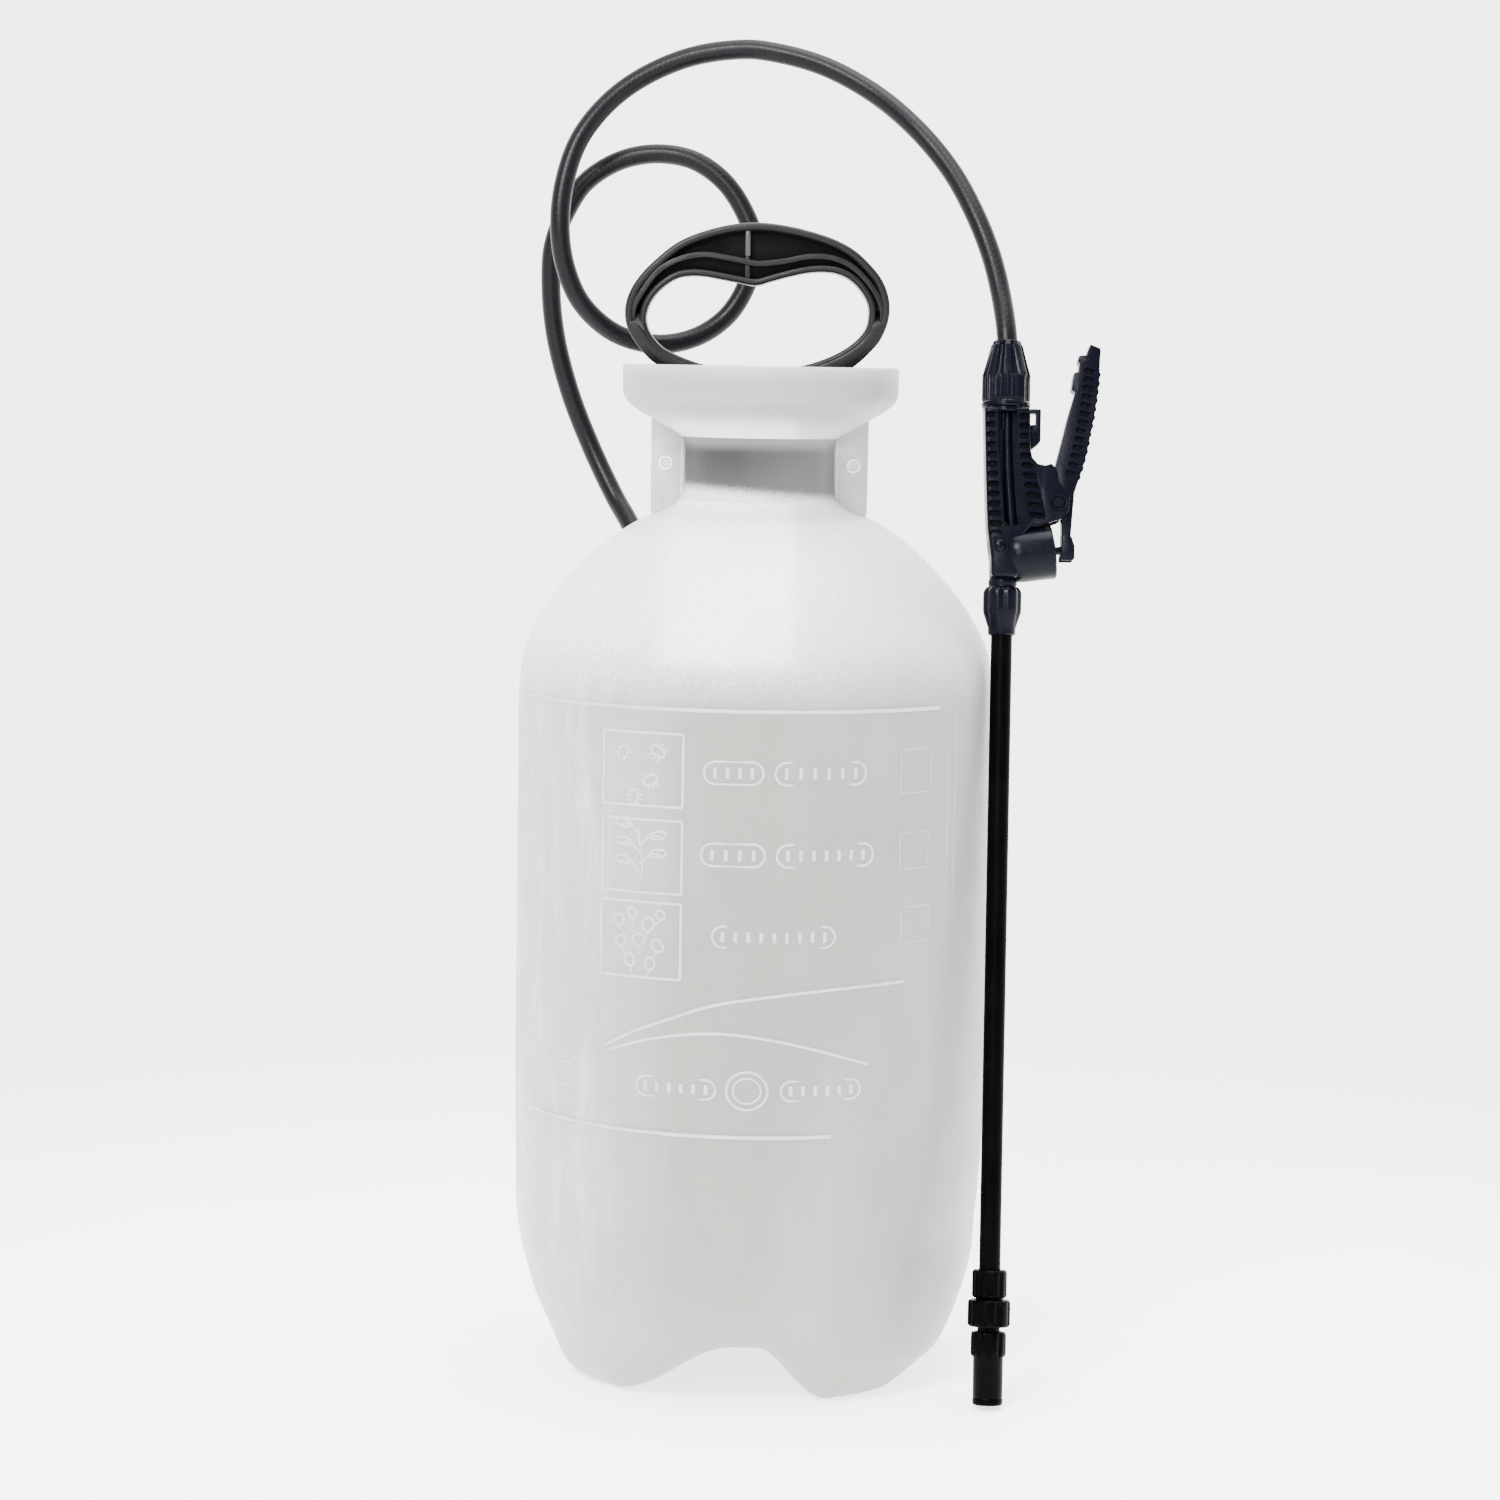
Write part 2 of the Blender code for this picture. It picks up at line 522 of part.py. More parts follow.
HOSE_ROUTE = [
    at_wand(0, 404.2), at_wand(0, 411), at_wand(0, 420),
    (94.9, 5.1, 434.9), (90.8, 13.0, 450.9), (84.3, 20.8, 467.0), (75.4, 30.4, 483.3),
    (62.1, 40.5, 499.7), (44.9, 53.1, 514.8), (24.3, 62.4, 526.3), (3.7, 69.0, 532.2),
    (-9.6, 71.8, 533.5), (-34.1, 74, 529.4), (-59.1, 72, 516.1), (-75.7, 66, 497.0), (-82.6, 61, 476.6),
    (-83.9, 58, 458.0), (-81.3, 60, 441.7), (-74.6, 62, 427.5), (-61.0, 66, 415.8), (-44.1, 70, 411.5),
    (-27.4, 74, 414.7), (-13.7, 77, 424.6), (-5.6, 79, 439.7), (-3.8, 80, 455.1), (-8.4, 82, 468.0),
    (-17.2, 84, 480.2), (-30.0, 86, 488.6), (-45.7, 88, 491.0), (-61.1, 89, 487.8), (-74.9, 90, 478.9),
    (-82.4, 91, 468.0), (-88.4, 92, 452.5), (-89.3, 93, 435.3), (-87.2, 94, 414.7), (-80.8, 94, 390.8),
    (-71.6, 93.6, 368.0), at_outlet(40, 0.4), at_outlet(30), at_outlet(21), at_outlet(10.4)]
round_bar("hose", rounded(HOSE_ROUTE, 76), HOSE_R, sprayer, HOSE)
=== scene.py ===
"""Looks of the hand pump sprayer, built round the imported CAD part. Row frame, metres; lengths in mm by MM."""
from math import copysign, cos, degrees, hypot, pi, radians, sin, sqrt

import bmesh
import bpy
from mathutils import Matrix, Vector


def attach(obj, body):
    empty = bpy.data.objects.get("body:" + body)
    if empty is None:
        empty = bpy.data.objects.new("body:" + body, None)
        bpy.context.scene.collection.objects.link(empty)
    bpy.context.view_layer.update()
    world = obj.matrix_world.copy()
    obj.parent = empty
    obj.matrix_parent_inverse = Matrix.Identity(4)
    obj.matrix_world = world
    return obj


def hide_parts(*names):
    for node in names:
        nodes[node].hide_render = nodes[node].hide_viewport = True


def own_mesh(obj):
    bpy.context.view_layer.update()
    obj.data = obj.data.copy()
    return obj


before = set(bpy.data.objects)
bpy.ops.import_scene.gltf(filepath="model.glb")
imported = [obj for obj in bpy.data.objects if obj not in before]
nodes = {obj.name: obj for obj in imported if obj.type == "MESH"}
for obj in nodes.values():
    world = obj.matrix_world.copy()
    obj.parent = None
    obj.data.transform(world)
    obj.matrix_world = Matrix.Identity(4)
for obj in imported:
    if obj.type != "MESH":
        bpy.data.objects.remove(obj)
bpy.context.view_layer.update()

MM = 0.001

# tank
TANK_X = -19.7
TANK_R = 95.1
NECK_IN, NECK_OUT = 27.5, 31.8
NECK_LOW, NECK_TOP = 349.5, 374.5
RIM_R = 55.1
RIM_TOP = 403.1
FOOT_AZIMUTH = 36.0
FOOT_FLAT = 9.2
FOOT_TRAIL = 51.0
FOOT_LEAD = 33.0
RIGHT_BULGE = 7.0
LEFT_BULGE = 2.0
EYELET_X = 37.4
EYELET_Z = 364.0

# hose and the outlet it leaves from
HOSE_R = 4.1
BRAID_RATE = 2500  # radians of the braid's wave per metre of hose
OUTLET_R = 75.5
OUTLET_Z = 318.4
OUTLET_AZIMUTH = 125.2
OUTLET_TILT = 44.0

# wand, and the grip's places in the wand's frame
WAND_FOOT = (94.9, -73.8, 1.3)
LEAN_BACK = 9.37
LEAN_RIGHT = 0.36
PIVOT = (21.0, 354.0)
VALVE_FACE = (19.8, 335.3)
VALVE_TILT = 8.0
VALVE_R = 10.8
SPRING_R = 4.2
SPRING_LOW, SPRING_TOP = -13.3, -4.3

# degrees from which an edge stays sharp, or takes a bevel
SHARP = 35
NUT_SHARP = 30
BEVEL_FROM = 40


def place(location=(0, 0, 0), rotation=(0, 0, 0), parent=None):
    """A frame at a location in mm, turned by degrees about X, Y and Z, inside its parent's."""
    turn = Matrix.Identity(4)
    for axis, angle in zip("XYZ", rotation):
        turn = Matrix.Rotation(radians(angle), 4, axis) @ turn
    here = Matrix.Translation(Vector(location)) @ turn
    return parent @ here if parent else here


SPRAYER = place((TANK_X, 0, 0))
WAND = place(WAND_FOOT, (-LEAN_BACK, LEAN_RIGHT, 0), SPRAYER)
VALVE = place((VALVE_FACE[0], 0, VALVE_FACE[1]), (0, 90 - VALVE_TILT, 0), WAND)
toward = radians(OUTLET_AZIMUTH)
OUTLET_AT = place((OUTLET_R * cos(toward), OUTLET_R * sin(toward), OUTLET_Z),
                  (0, 90 - OUTLET_TILT, OUTLET_AZIMUTH), SPRAYER)


# ---------------- materials
class Nodes:
    """Short hand for a procedural material."""

    def __init__(self, name, roughness=0.4, metallic=0.0):
        self.mat = bpy.data.materials.new(name)
        self.mat.use_nodes = True
        self.tree = self.mat.node_tree
        self.shader = self.tree.nodes["Principled BSDF"]
        self.set("Roughness", roughness)
        self.set("Metallic", metallic)
        self.coord = self.tree.nodes.new("ShaderNodeTexCoord")

    def new(self, kind, **values):
        node = self.tree.nodes.new(kind)
        for key, value in values.items():
            setattr(node, key, value)
        return node

    def set(self, name, value):
        self.shader.inputs[name].default_value = value

    def link(self, out, into):
        self.tree.links.new(out, into)

    def noise(self, scale, detail=2.0, rough=0.5, stretch=None):
        source = self.coord.outputs["Object"]
        if stretch:
            mapping = self.new("ShaderNodeMapping")
            mapping.inputs["Scale"].default_value = stretch
            self.link(source, mapping.inputs["Vector"])
            source = mapping.outputs["Vector"]
        node = self.new("ShaderNodeTexNoise")
        node.inputs["Scale"].default_value = scale
        node.inputs["Detail"].default_value = detail
        node.inputs["Roughness"].default_value = rough
        self.link(source, node.inputs["Vector"])
        return node.outputs["Fac"]

    def ramp(self, value, low, high, to_low=0.0, to_high=1.0, smooth=False):
        node = self.new("ShaderNodeMapRange")
        if smooth:
            node.interpolation_type = "SMOOTHSTEP"
        node.inputs["From Min"].default_value = low
        node.inputs["From Max"].default_value = high
        node.inputs["To Min"].default_value = to_low
        node.inputs["To Max"].default_value = to_high
        self.link(value, node.inputs["Value"])
        return node.outputs["Result"]

    def fade(self, value, low, high):
        """0 at low, 1 at high, slow at both ends."""
        return self.ramp(value, low, high, 0.0, 1.0, True)

    def times(self, a, b):
        return self.math("MULTIPLY", a, b)

    def math(self, operation, a, b=None):
        node = self.new("ShaderNodeMath", operation=operation)
        for slot, value in enumerate((a, b)):
            if value is None:
                continue
            if isinstance(value, (int, float)):
                node.inputs[slot].default_value = value
            else:
                self.link(value, node.inputs[slot])
        return node.outputs["Value"]

    def mix(self, share, a, b):
        node = self.new("ShaderNodeMix", data_type="RGBA")
        for slot, value in (("Factor", share), ("A", a), ("B", b)):
            socket = [s for s in node.inputs if s.name == slot and s.enabled][0]
            if isinstance(value, tuple):
                socket.default_value = (*value, 1.0)
            elif isinstance(value, (int, float)):
                socket.default_value = value
            else:
                self.link(value, socket)
        return [s for s in node.outputs if s.enabled][0]

    def split(self, space="Object"):
        node = self.new("ShaderNodeSeparateXYZ")
        self.link(self.coord.outputs[space], node.inputs[0])
        return node.outputs[0], node.outputs[1], node.outputs[2]

    def bump(self, height, strength, distance, under=None):
        node = self.new("ShaderNodeBump")
        node.inputs["Strength"].default_value = strength
        node.inputs["Distance"].default_value = distance
        self.link(height, node.inputs["Height"])
        if under:
            self.link(under, node.inputs["Normal"])
        return node.outputs["Normal"]

    def finish(self, colour=None, roughness=None, normal=None):
        for name, value in (("Base Color", colour), ("Roughness", roughness), ("Normal", normal)):
            if value is None:
                continue
            if isinstance(value, tuple):
                self.set(name, (*value, 1.0))
            else:
                self.link(value, self.shader.inputs[name])
        return self.mat


def tank_plastic():
    """Milky plastic: grey-green body, bluish rim, streaks and speckle, with painted light: a lighter left side,
    a brighter dome with a painted window reflection, lighter feet, a lit rim top and painted glints on the
    dome.
    """
    n = Nodes("tank_milky_polyethylene", 0.42)
    x, y, z = n.split()
    # painted light: the body is painted lighter towards its left edge
    side = n.fade(x, -0.112, -0.045)
    body = n.mix(side, (0.42, 0.42, 0.42), (0.232, 0.238, 0.214))
    cloud = n.ramp(n.noise(11, 4, 0.62, (1.8, 1.8, 0.42)), 0.45, 0.75)
    body = n.mix(n.times(cloud, 0.42), body, (0.42, 0.42, 0.41))
    streak = n.ramp(n.noise(70, 4, 0.7, (1.6, 1.6, 0.3)), 0.5, 0.68)
    at_left = n.ramp(x, -0.062, -0.092, 0.0, 0.55, True)
    body = n.mix(n.times(streak, at_left), body, (0.60, 0.60, 0.60))
    patch = n.ramp(n.noise(26, 5, 0.7, (1.0, 1.0, 0.6)), 0.56, 0.44)
    body = n.mix(n.times(patch, 0.22), body, (0.19, 0.195, 0.18))
    right = n.ramp(x, 0.0, 0.075, 0.0, 0.4, True)
    body = n.mix(right, body, (0.285, 0.29, 0.268))
    # the dome, painted brighter than the body and lighter to the left as painted light, with a painted
    # reflection of the window on its front
    shoulder = n.fade(z, 0.268, 0.304)
    lit = n.times(n.fade(x, -0.062, -0.050), n.fade(x, -0.002, -0.010))
    lit = n.times(lit, n.fade(z, 0.286, 0.293))
    lit = n.times(lit, n.fade(y, 0.01, -0.02))
    dome = n.mix(n.fade(x, -0.03, 0.06), (0.66, 0.665, 0.675), (0.50, 0.505, 0.51))
    dome = n.mix(lit, dome, (0.93, 0.93, 0.935))
    colour = n.mix(shoulder, body, dome)
    # feet, painted lighter towards the floor as painted bounce light, and rim
    foot = n.ramp(z, 0.06, 0.012, 0.0, 0.55, True)
    colour = n.mix(foot, colour, (0.31, 0.31, 0.285))
    rim = n.fade(z, 0.375, 0.386)
    colour = n.mix(rim, colour, (0.262, 0.272, 0.282))
    # painted highlight: the rim's top band is painted lighter and bluer
    colour = n.mix(n.ramp(z, 0.396, 0.4025, 0.0, 0.7, True), colour, (0.37, 0.40, 0.425))
    # speckle on the dome: painted glints and painted dark specks, strongest on its lit left side
    fine = n.noise(900, 2, 0.55)
    coarse = n.noise(330, 3, 0.6)
    grain = n.math("ADD", fine, n.times(coarse, 0.6))
    on_dome = n.times(shoulder, n.ramp(z, 0.352, 0.346))
    on_dome = n.times(on_dome, n.ramp(x, 0.03, -0.02, 0.35, 1.0, True))
    painted_glint = n.times(n.ramp(fine, 0.54, 0.66), n.times(on_dome, 0.8))
    colour = n.mix(painted_glint, colour, (0.99, 0.99, 1.0))
    shade = n.times(n.ramp(fine, 0.47, 0.33), n.times(on_dome, 0.5))
    colour = n.mix(shade, colour, (0.62, 0.63, 0.65))
    rough = n.ramp(n.noise(60, 3, 0.6), 0.3, 0.7, 0.34, 0.48)
    pebble = n.bump(grain, 0.3, 0.0005)
    waves = n.bump(n.noise(16, 2, 0.5), 0.12, 0.004, pebble)
    n.set("Subsurface Weight", 0.3)
    n.set("Subsurface Radius", (1.0, 0.97, 0.9))
    n.set("Subsurface Scale", 0.008)
    return n.finish(colour, rough, waves)


def raised_plastic(name, colour):
    """The same plastic where it stands proud, in the colour it is given, with faint mottling; the raised marks,
    eyelets and inner strips are given lighter colours as painted highlights.
    """
    n = Nodes(name, 0.36)
    tone = n.mix(n.ramp(n.noise(160, 3, 0.6), 0.35, 0.65), colour, tuple(c * 0.86 for c in colour))
    return n.finish(tone, None, n.bump(n.noise(900, 2, 0.55), 0.2, 0.0004))


def neck_plastic():
    """The neck's wall, painted dark as painted shade where the dark pump shows through it and the bowl above
    shades it, with painted light at its foot.
    """
    n = Nodes("neck_over_pump_painted_shade", 0.4)
    x, y, z = n.split()
    # painted shade: darker towards the top, under the funnel
    tone = n.mix(n.fade(z, 0.348, 0.366), (0.068, 0.068, 0.067), (0.035, 0.035, 0.034))
    # painted shade darker at the far left, painted light lighter towards the right
    side = n.ramp(x, -0.050, -0.040, 0.5, 0.0, True)
    tone = n.mix(side, tone, (0.045, 0.046, 0.046))
    tone = n.mix(n.ramp(x, -0.03, 0.01, 0.0, 0.6, True), tone, (0.155, 0.16, 0.165))
    # painted light: a bright band with painted glints at the neck's foot, sloping with x, where the dome's
    # light begins
    speck = n.ramp(n.noise(1100, 3, 0.65), 0.45, 0.65)
    level = n.math("ADD", z, n.times(x, 0.07))
    low = n.math("ADD", n.fade(level, 0.3545, 0.3485),
                 n.times(speck, n.ramp(level, 0.3560, 0.350, 0.0, 0.3, True)))
    tone = n.mix(n.math("MINIMUM", low, 1.0), tone, (0.66, 0.665, 0.675))
    # lighter again at the top, blending into the funnel
    tone = n.mix(n.ramp(z, 0.3685, 0.3742, 0.0, 0.45, True), tone, (0.30, 0.305, 0.31))
    n.set("Specular IOR Level", 0.18)
    pebble = n.bump(n.noise(900, 2, 0.55), 0.25, 0.0005)
    return n.finish(tone, None, pebble)


def black_plastic(name, colour, roughness, grain, shine):
    """Dark moulded plastic with a little dust on it."""
    n = Nodes(name, roughness)
    dust = n.ramp(n.noise(45, 4, 0.6), 0.45, 0.75, 0.0, 0.35)
    lighter = tuple(c * 1.6 + 0.002 for c in colour)
    tone = n.mix(dust, colour, lighter)
    rough = n.ramp(n.noise(110, 3, 0.6), 0.3, 0.7, roughness - 0.06, roughness + 0.10)
    normal = n.bump(n.noise(1500, 2, 0.5), grain, 0.0003)
    n.set("Specular IOR Level", shine)
    return n.finish(tone, rough, normal)


def hose_rubber():
    """Charcoal hose with the reinforcing braid just showing through its skin."""
    n = Nodes("hose_charcoal", 0.5)
    u, v, _ = n.split("UV")
    across = n.times(u, 8 * 2 * pi)
    along = n.times(v, BRAID_RATE)
    one = n.math("SINE", n.math("ADD", across, along))
    two = n.math("SINE", n.math("SUBTRACT", across, along))
    braid = n.times(n.math("ADD", one, n.times(two, 0.4)), 0.35)
    flecks = n.noise(420, 3, 0.7)
    height = n.math("ADD", braid, n.times(flecks, 0.15))
    worn = n.ramp(n.noise(30, 4, 0.65), 0.4, 0.75, 0.0, 0.5)
    tone = n.mix(worn, (0.0024, 0.0028, 0.0036), (0.0050, 0.0055, 0.0062))
    tone = n.mix(n.ramp(flecks, 0.62, 0.78, 0.0, 0.35), tone, (0.014, 0.015, 0.016))
    n.set("Specular IOR Level", 0.12)
    rough = n.ramp(flecks, 0.3, 0.7, 0.31, 0.42)
    return n.finish(tone, rough, n.bump(height, 0.12, 0.0002))


def plain(name, colour, roughness, metallic=0.0):
    """A seal, tube or spring of one colour with faint mottling."""
    n = Nodes(name, roughness, metallic)
    tone = n.mix(n.ramp(n.noise(70, 3, 0.6), 0.4, 0.7, 0, 0.3), colour, tuple(c * 0.8 for c in colour))
    return n.finish(tone, None, n.bump(n.noise(1200, 2, 0.5), 0.1, 0.0002))


TANK = tank_plastic()
NECK = neck_plastic()
GRIP = black_plastic("grip_nylon", (0.0010, 0.0013, 0.0040), 0.27, 0.15, 0.075)
WANDS = black_plastic("wand_nylon", (0.0004, 0.0004, 0.0005), 0.32, 0.12, 0.022)
HANDLE = black_plastic("handle_black", (0.0034, 0.0036, 0.0042), 0.40, 0.03, 0.18)
# painted shade: the handle's recess is given a darker black than the rims
RECESS = black_plastic("handle_recess_painted_shade", (0.0010, 0.0011, 0.0013), 0.42, 0.02, 0.05)
# painted highlight: the middle rib's upper half is given a much lighter grey
RIB_HIGHLIGHT = black_plastic("handle_rib_painted_highlight", (0.022, 0.023, 0.025), 0.30, 0.02, 0.4)
PUMP = black_plastic("pump_black", (0.0050, 0.0053, 0.0057), 0.42, 0.10, 0.14)
# painted highlight: the panel's raised marks are painted lighter than the body
RAISED = raised_plastic("panel_relief", (0.49, 0.49, 0.48))
# painted highlight: the eyelet rings are painted near white
EYELET = raised_plastic("eyelet_painted_highlight", (0.95, 0.96, 0.97))
WEB = raised_plastic("web_plastic", (0.47, 0.47, 0.435))
# painted highlight: the strip along each web's inner edge is painted lighter
INNER = raised_plastic("web_inner_painted_highlight", (0.60, 0.60, 0.57))
# painted highlight: the faint marks are painted only a little lighter than the body
FAINT = raised_plastic("faint_relief", (0.335, 0.335, 0.32))
HOSE = hose_rubber()
SEAL = plain("seal_rubber", (0.015, 0.015, 0.015), 0.7)
CLEAR = plain("natural_polyethylene", (0.78, 0.8, 0.8), 0.4)
STEEL = plain("stainless_steel", (0.6, 0.6, 0.62), 0.28, 1.0)


# ---------------- shapes
def obj_from(name, points, faces, mat, at=SPRAYER, uv=None, sharp=SHARP):
    """An object from points in mm in one of the frames above."""
    mesh = bpy.data.meshes.new(name)
    mesh.from_pydata([at @ Vector(p) for p in points], [], faces)
    for vertex in mesh.vertices:
        vertex.co *= MM
    if uv:
        layer = mesh.uv_layers.new(name="UVMap")
        for loop in mesh.loops:
            layer.data[loop.index].uv = uv[loop.vertex_index]
    mesh.validate()
    tidy = bmesh.new()
    tidy.from_mesh(mesh)
    bmesh.ops.recalc_face_normals(tidy, faces=tidy.faces)
    tidy.to_mesh(mesh)
    tidy.free()
    mesh.shade_smooth()
    if sharp:
        mesh.set_sharp_from_angle(angle=radians(sharp))
    mesh.materials.append(mat)
    made = bpy.data.objects.new(name, mesh)
    bpy.context.scene.collection.objects.link(made)
    return made


def spline(points, per_span):
    """Smooth curve through points of any dimension, per_span steps between each pair."""
    knots = [Vector(p) for p in points]
    knots = [2 * knots[0] - knots[1]] + knots + [2 * knots[-1] - knots[-2]]
    curve = []
    for i in range(1, len(knots) - 2):
        p0, p1, p2, p3 = knots[i - 1:i + 3]
        t = [0.0]
        for a, b in ((p0, p1), (p1, p2), (p2, p3)):
            t.append(t[-1] + max((b - a).length, 1e-6) ** 0.5)
        for k in range(per_span):
            s = t[1] + (t[2] - t[1]) * k / per_span
            a1 = p0.lerp(p1, (s - t[0]) / (t[1] - t[0]))
            a2 = p1.lerp(p2, (s - t[1]) / (t[2] - t[1]))
            a3 = p2.lerp(p3, (s - t[2]) / (t[3] - t[2]))
            b1 = a1.lerp(a2, (s - t[0]) / (t[2] - t[0]))
            b2 = a2.lerp(a3, (s - t[1]) / (t[3] - t[1]))
            curve.append(b1.lerp(b2, (s - t[1]) / (t[2] - t[1])))
    curve.append(knots[-2].copy())
    return curve


def even(points, count):
    """The same line in count steps of one length."""
    lengths = [0.0]
    for a, b in zip(points, points[1:]):
        lengths.append(lengths[-1] + (b - a).length)
    out = []
    j = 0
    for k in range(count + 1):
        want = lengths[-1] * k / count
        while j < len(lengths) - 2 and lengths[j + 1] < want:
            j += 1
        span = max(lengths[j + 1] - lengths[j], 1e-9)
        out.append(points[j].lerp(points[j + 1], (want - lengths[j]) / span))
    return out


def lathe(name, profile, mat, at=SPRAYER, segs=64, ribs=None, sharp=SHARP):
    """Turn a closed (r, z) profile. ribs(angle, r, z) may change the radius."""
    points = []
    rings = []
    for r, z in profile:
        if r < 1e-6:
            rings.append([len(points)])
            points.append((0, 0, z))
            continue
        rings.append(list(range(len(points), len(points) + segs)))
        for k in range(segs):
            angle = 2 * pi * k / segs
            use = ribs(angle, r, z) if ribs else r
            points.append((use * cos(angle), use * sin(angle), z))
    faces = []
    for i in range(len(profile)):
        low = rings[i]
        high = rings[(i + 1) % len(profile)]
        for k in range(segs):
            n = (k + 1) % segs
            if len(low) == 1 and len(high) == 1:
                break
            if len(low) == 1:
                faces.append((low[0], high[n], high[k]))
            elif len(high) == 1:
                faces.append((low[k], low[n], high[0]))
            else:
                faces.append((low[k], low[n], high[n], high[k]))
    return obj_from(name, points, faces, mat, at, sharp=sharp)


def plate(name, outline, y_low, y_high, mat, at=SPRAYER, bevel=0.0):
    """Push an (x, z) outline through from y_low to y_high, with softened edges."""
    count = len(outline)
    points = [(p[0], y_low, p[1]) for p in outline] + [(p[0], y_high, p[1]) for p in outline]
    faces = [tuple(range(count)), tuple(reversed(range(count, 2 * count)))]
    for i in range(count):
        n = (i + 1) % count
        faces.append((n, i, count + i, count + n))
    made = obj_from(name, points, faces, mat, at)
    if bevel:
        soften(made, bevel)
    return made


def soften(target, width, segments=2):
    """Bevel every edge that turns more than BEVEL_FROM."""
    step = target.modifiers.new("bevel", "BEVEL")
    step.width = width * MM
    step.segments = segments
    step.limit_method = "ANGLE"
    step.angle_limit = radians(BEVEL_FROM)
    settle(target)


def settle(target):
    """Keep what the modifiers make as the object's own mesh."""
    bpy.context.view_layer.update()
    depsgraph = bpy.context.evaluated_depsgraph_get()
    mesh = bpy.data.meshes.new_from_object(target.evaluated_get(depsgraph))
    target.modifiers.clear()
    target.data = mesh
    mesh.shade_smooth()
    mesh.set_sharp_from_angle(angle=radians(SHARP))


def cut(target, tool):
    step = target.modifiers.new("cut", "BOOLEAN")
    step.operation = "DIFFERENCE"
    step.solver = "EXACT"
    step.object = tool
    settle(target)
    bpy.data.objects.remove(tool, do_unlink=True)


def join(name, parts):
    """One object from several, all already in the row frame."""
    made = parts[0]
    mats = []
    whole = bmesh.new()
    for part in parts:
        for mat in part.data.materials:
            if mat not in mats:
                mats.append(mat)
    for part in parts:
        start = len(whole.faces)
        whole.from_mesh(part.data)
        whole.faces.ensure_lookup_table()
        own = [mats.index(mat) for mat in part.data.materials]
        for face in whole.faces[start:]:
            face.material_index = own[min(face.material_index, len(own) - 1)]
    mesh = bpy.data.meshes.new(name)
    whole.to_mesh(mesh)
    whole.free()
    for mat in mats:
        mesh.materials.append(mat)
    for part in parts[1:]:
        bpy.data.objects.remove(part, do_unlink=True)
    made.data = mesh
    made.name = name
    mesh.set_sharp_from_angle(angle=radians(SHARP))
    return made


def box(name, low, high, mat, at=SPRAYER, bevel=0.0):
    outline = [(low[0], low[2]), (high[0], low[2]), (high[0], high[2]), (low[0], high[2])]
    return plate(name, outline, low[1], high[1], mat, at, bevel)


def grid(count, segs, closed=False, across=None):
    """Faces between count rings of segs points each. across is how many steps each ring has."""
    faces = []
    for i in range(count if closed else count - 1):
        a = i * segs
        b = (i + 1) % count * segs
        for k in range(across or segs):
            n = (k + 1) % segs
            faces.append((a + k, a + n, b + n, b + k))
    return faces


def sweep(name, path, radius, mat, at=SPRAYER, segs=24, closed=False, flat=1.0):
    """A round tube of points along a path, turned as little as possible from ring to ring."""
    count = len(path)
    points = []
    uv = []
    normal = None
    along = 0.0
    for i, p in enumerate(path):
        if closed:
            tangent = (path[(i + 1) % count] - path[i - 1]).normalized()
        else:
            tangent = (path[min(i + 1, count - 1)] - path[max(i - 1, 0)]).normalized()
        if i:
            along += (p - path[i - 1]).length
        if normal is None:
            normal = Vector((0, 1, 0)) if abs(tangent.y) < 0.9 else Vector((1, 0, 0))
        normal = (normal - tangent * normal.dot(tangent)).normalized()
        other = tangent.cross(normal)
        use = radius(i / max(count - 1, 1)) if callable(radius) else radius
        for k in range(segs):
            angle = 2 * pi * k / segs
            points.append(p + normal * (use * flat * cos(angle)) + other * (use * sin(angle)))
            uv.append((k / segs if k <= segs / 2 else 1 - k / segs, along * MM))
    faces = grid(count, segs, closed)
    if not closed:
        faces.append(tuple(reversed(range(segs))))
        faces.append(tuple(range((count - 1) * segs, count * segs)))
    return obj_from(name, points, faces, mat, at, uv, sharp=50)


def ribbed(count, depth, inner, low, high):
    """Ribs with flat crests between two heights, on what lies outside the inner radius."""
    def radius(angle, r, z):
        if r < inner or not low < z < high:
            return r
        wave = 0.5 + 0.5 * cos(count * angle)
        return r - depth * (1 - min(1.0, wave * 1.8))
    return radius


def turned(u, z, du, dz, tilt):
    """The point du, dz away from u, z, turned by tilt."""
    c, s = cos(tilt), sin(tilt)
    return u + du * c - dz * s, z + du * s + dz * c


def round_ended(half, r):
    """Outline of a strip with round ends, about its middle."""
    outline = []
    for end, start in ((half, -pi / 2), (-half, pi / 2)):
        for k in range(9):
            a = start + pi * k / 8
            outline.append((end + r * cos(a), r * sin(a)))
    return outline


def eased(share):
    """Held between 0 and 1, slow at both ends."""
    share = min(1.0, max(0.0, share))
    return share * share * (3 - 2 * share)


def between(value, start, end):
    """0 at start, 1 at end, eased."""
    return eased((value - start) / (end - start))


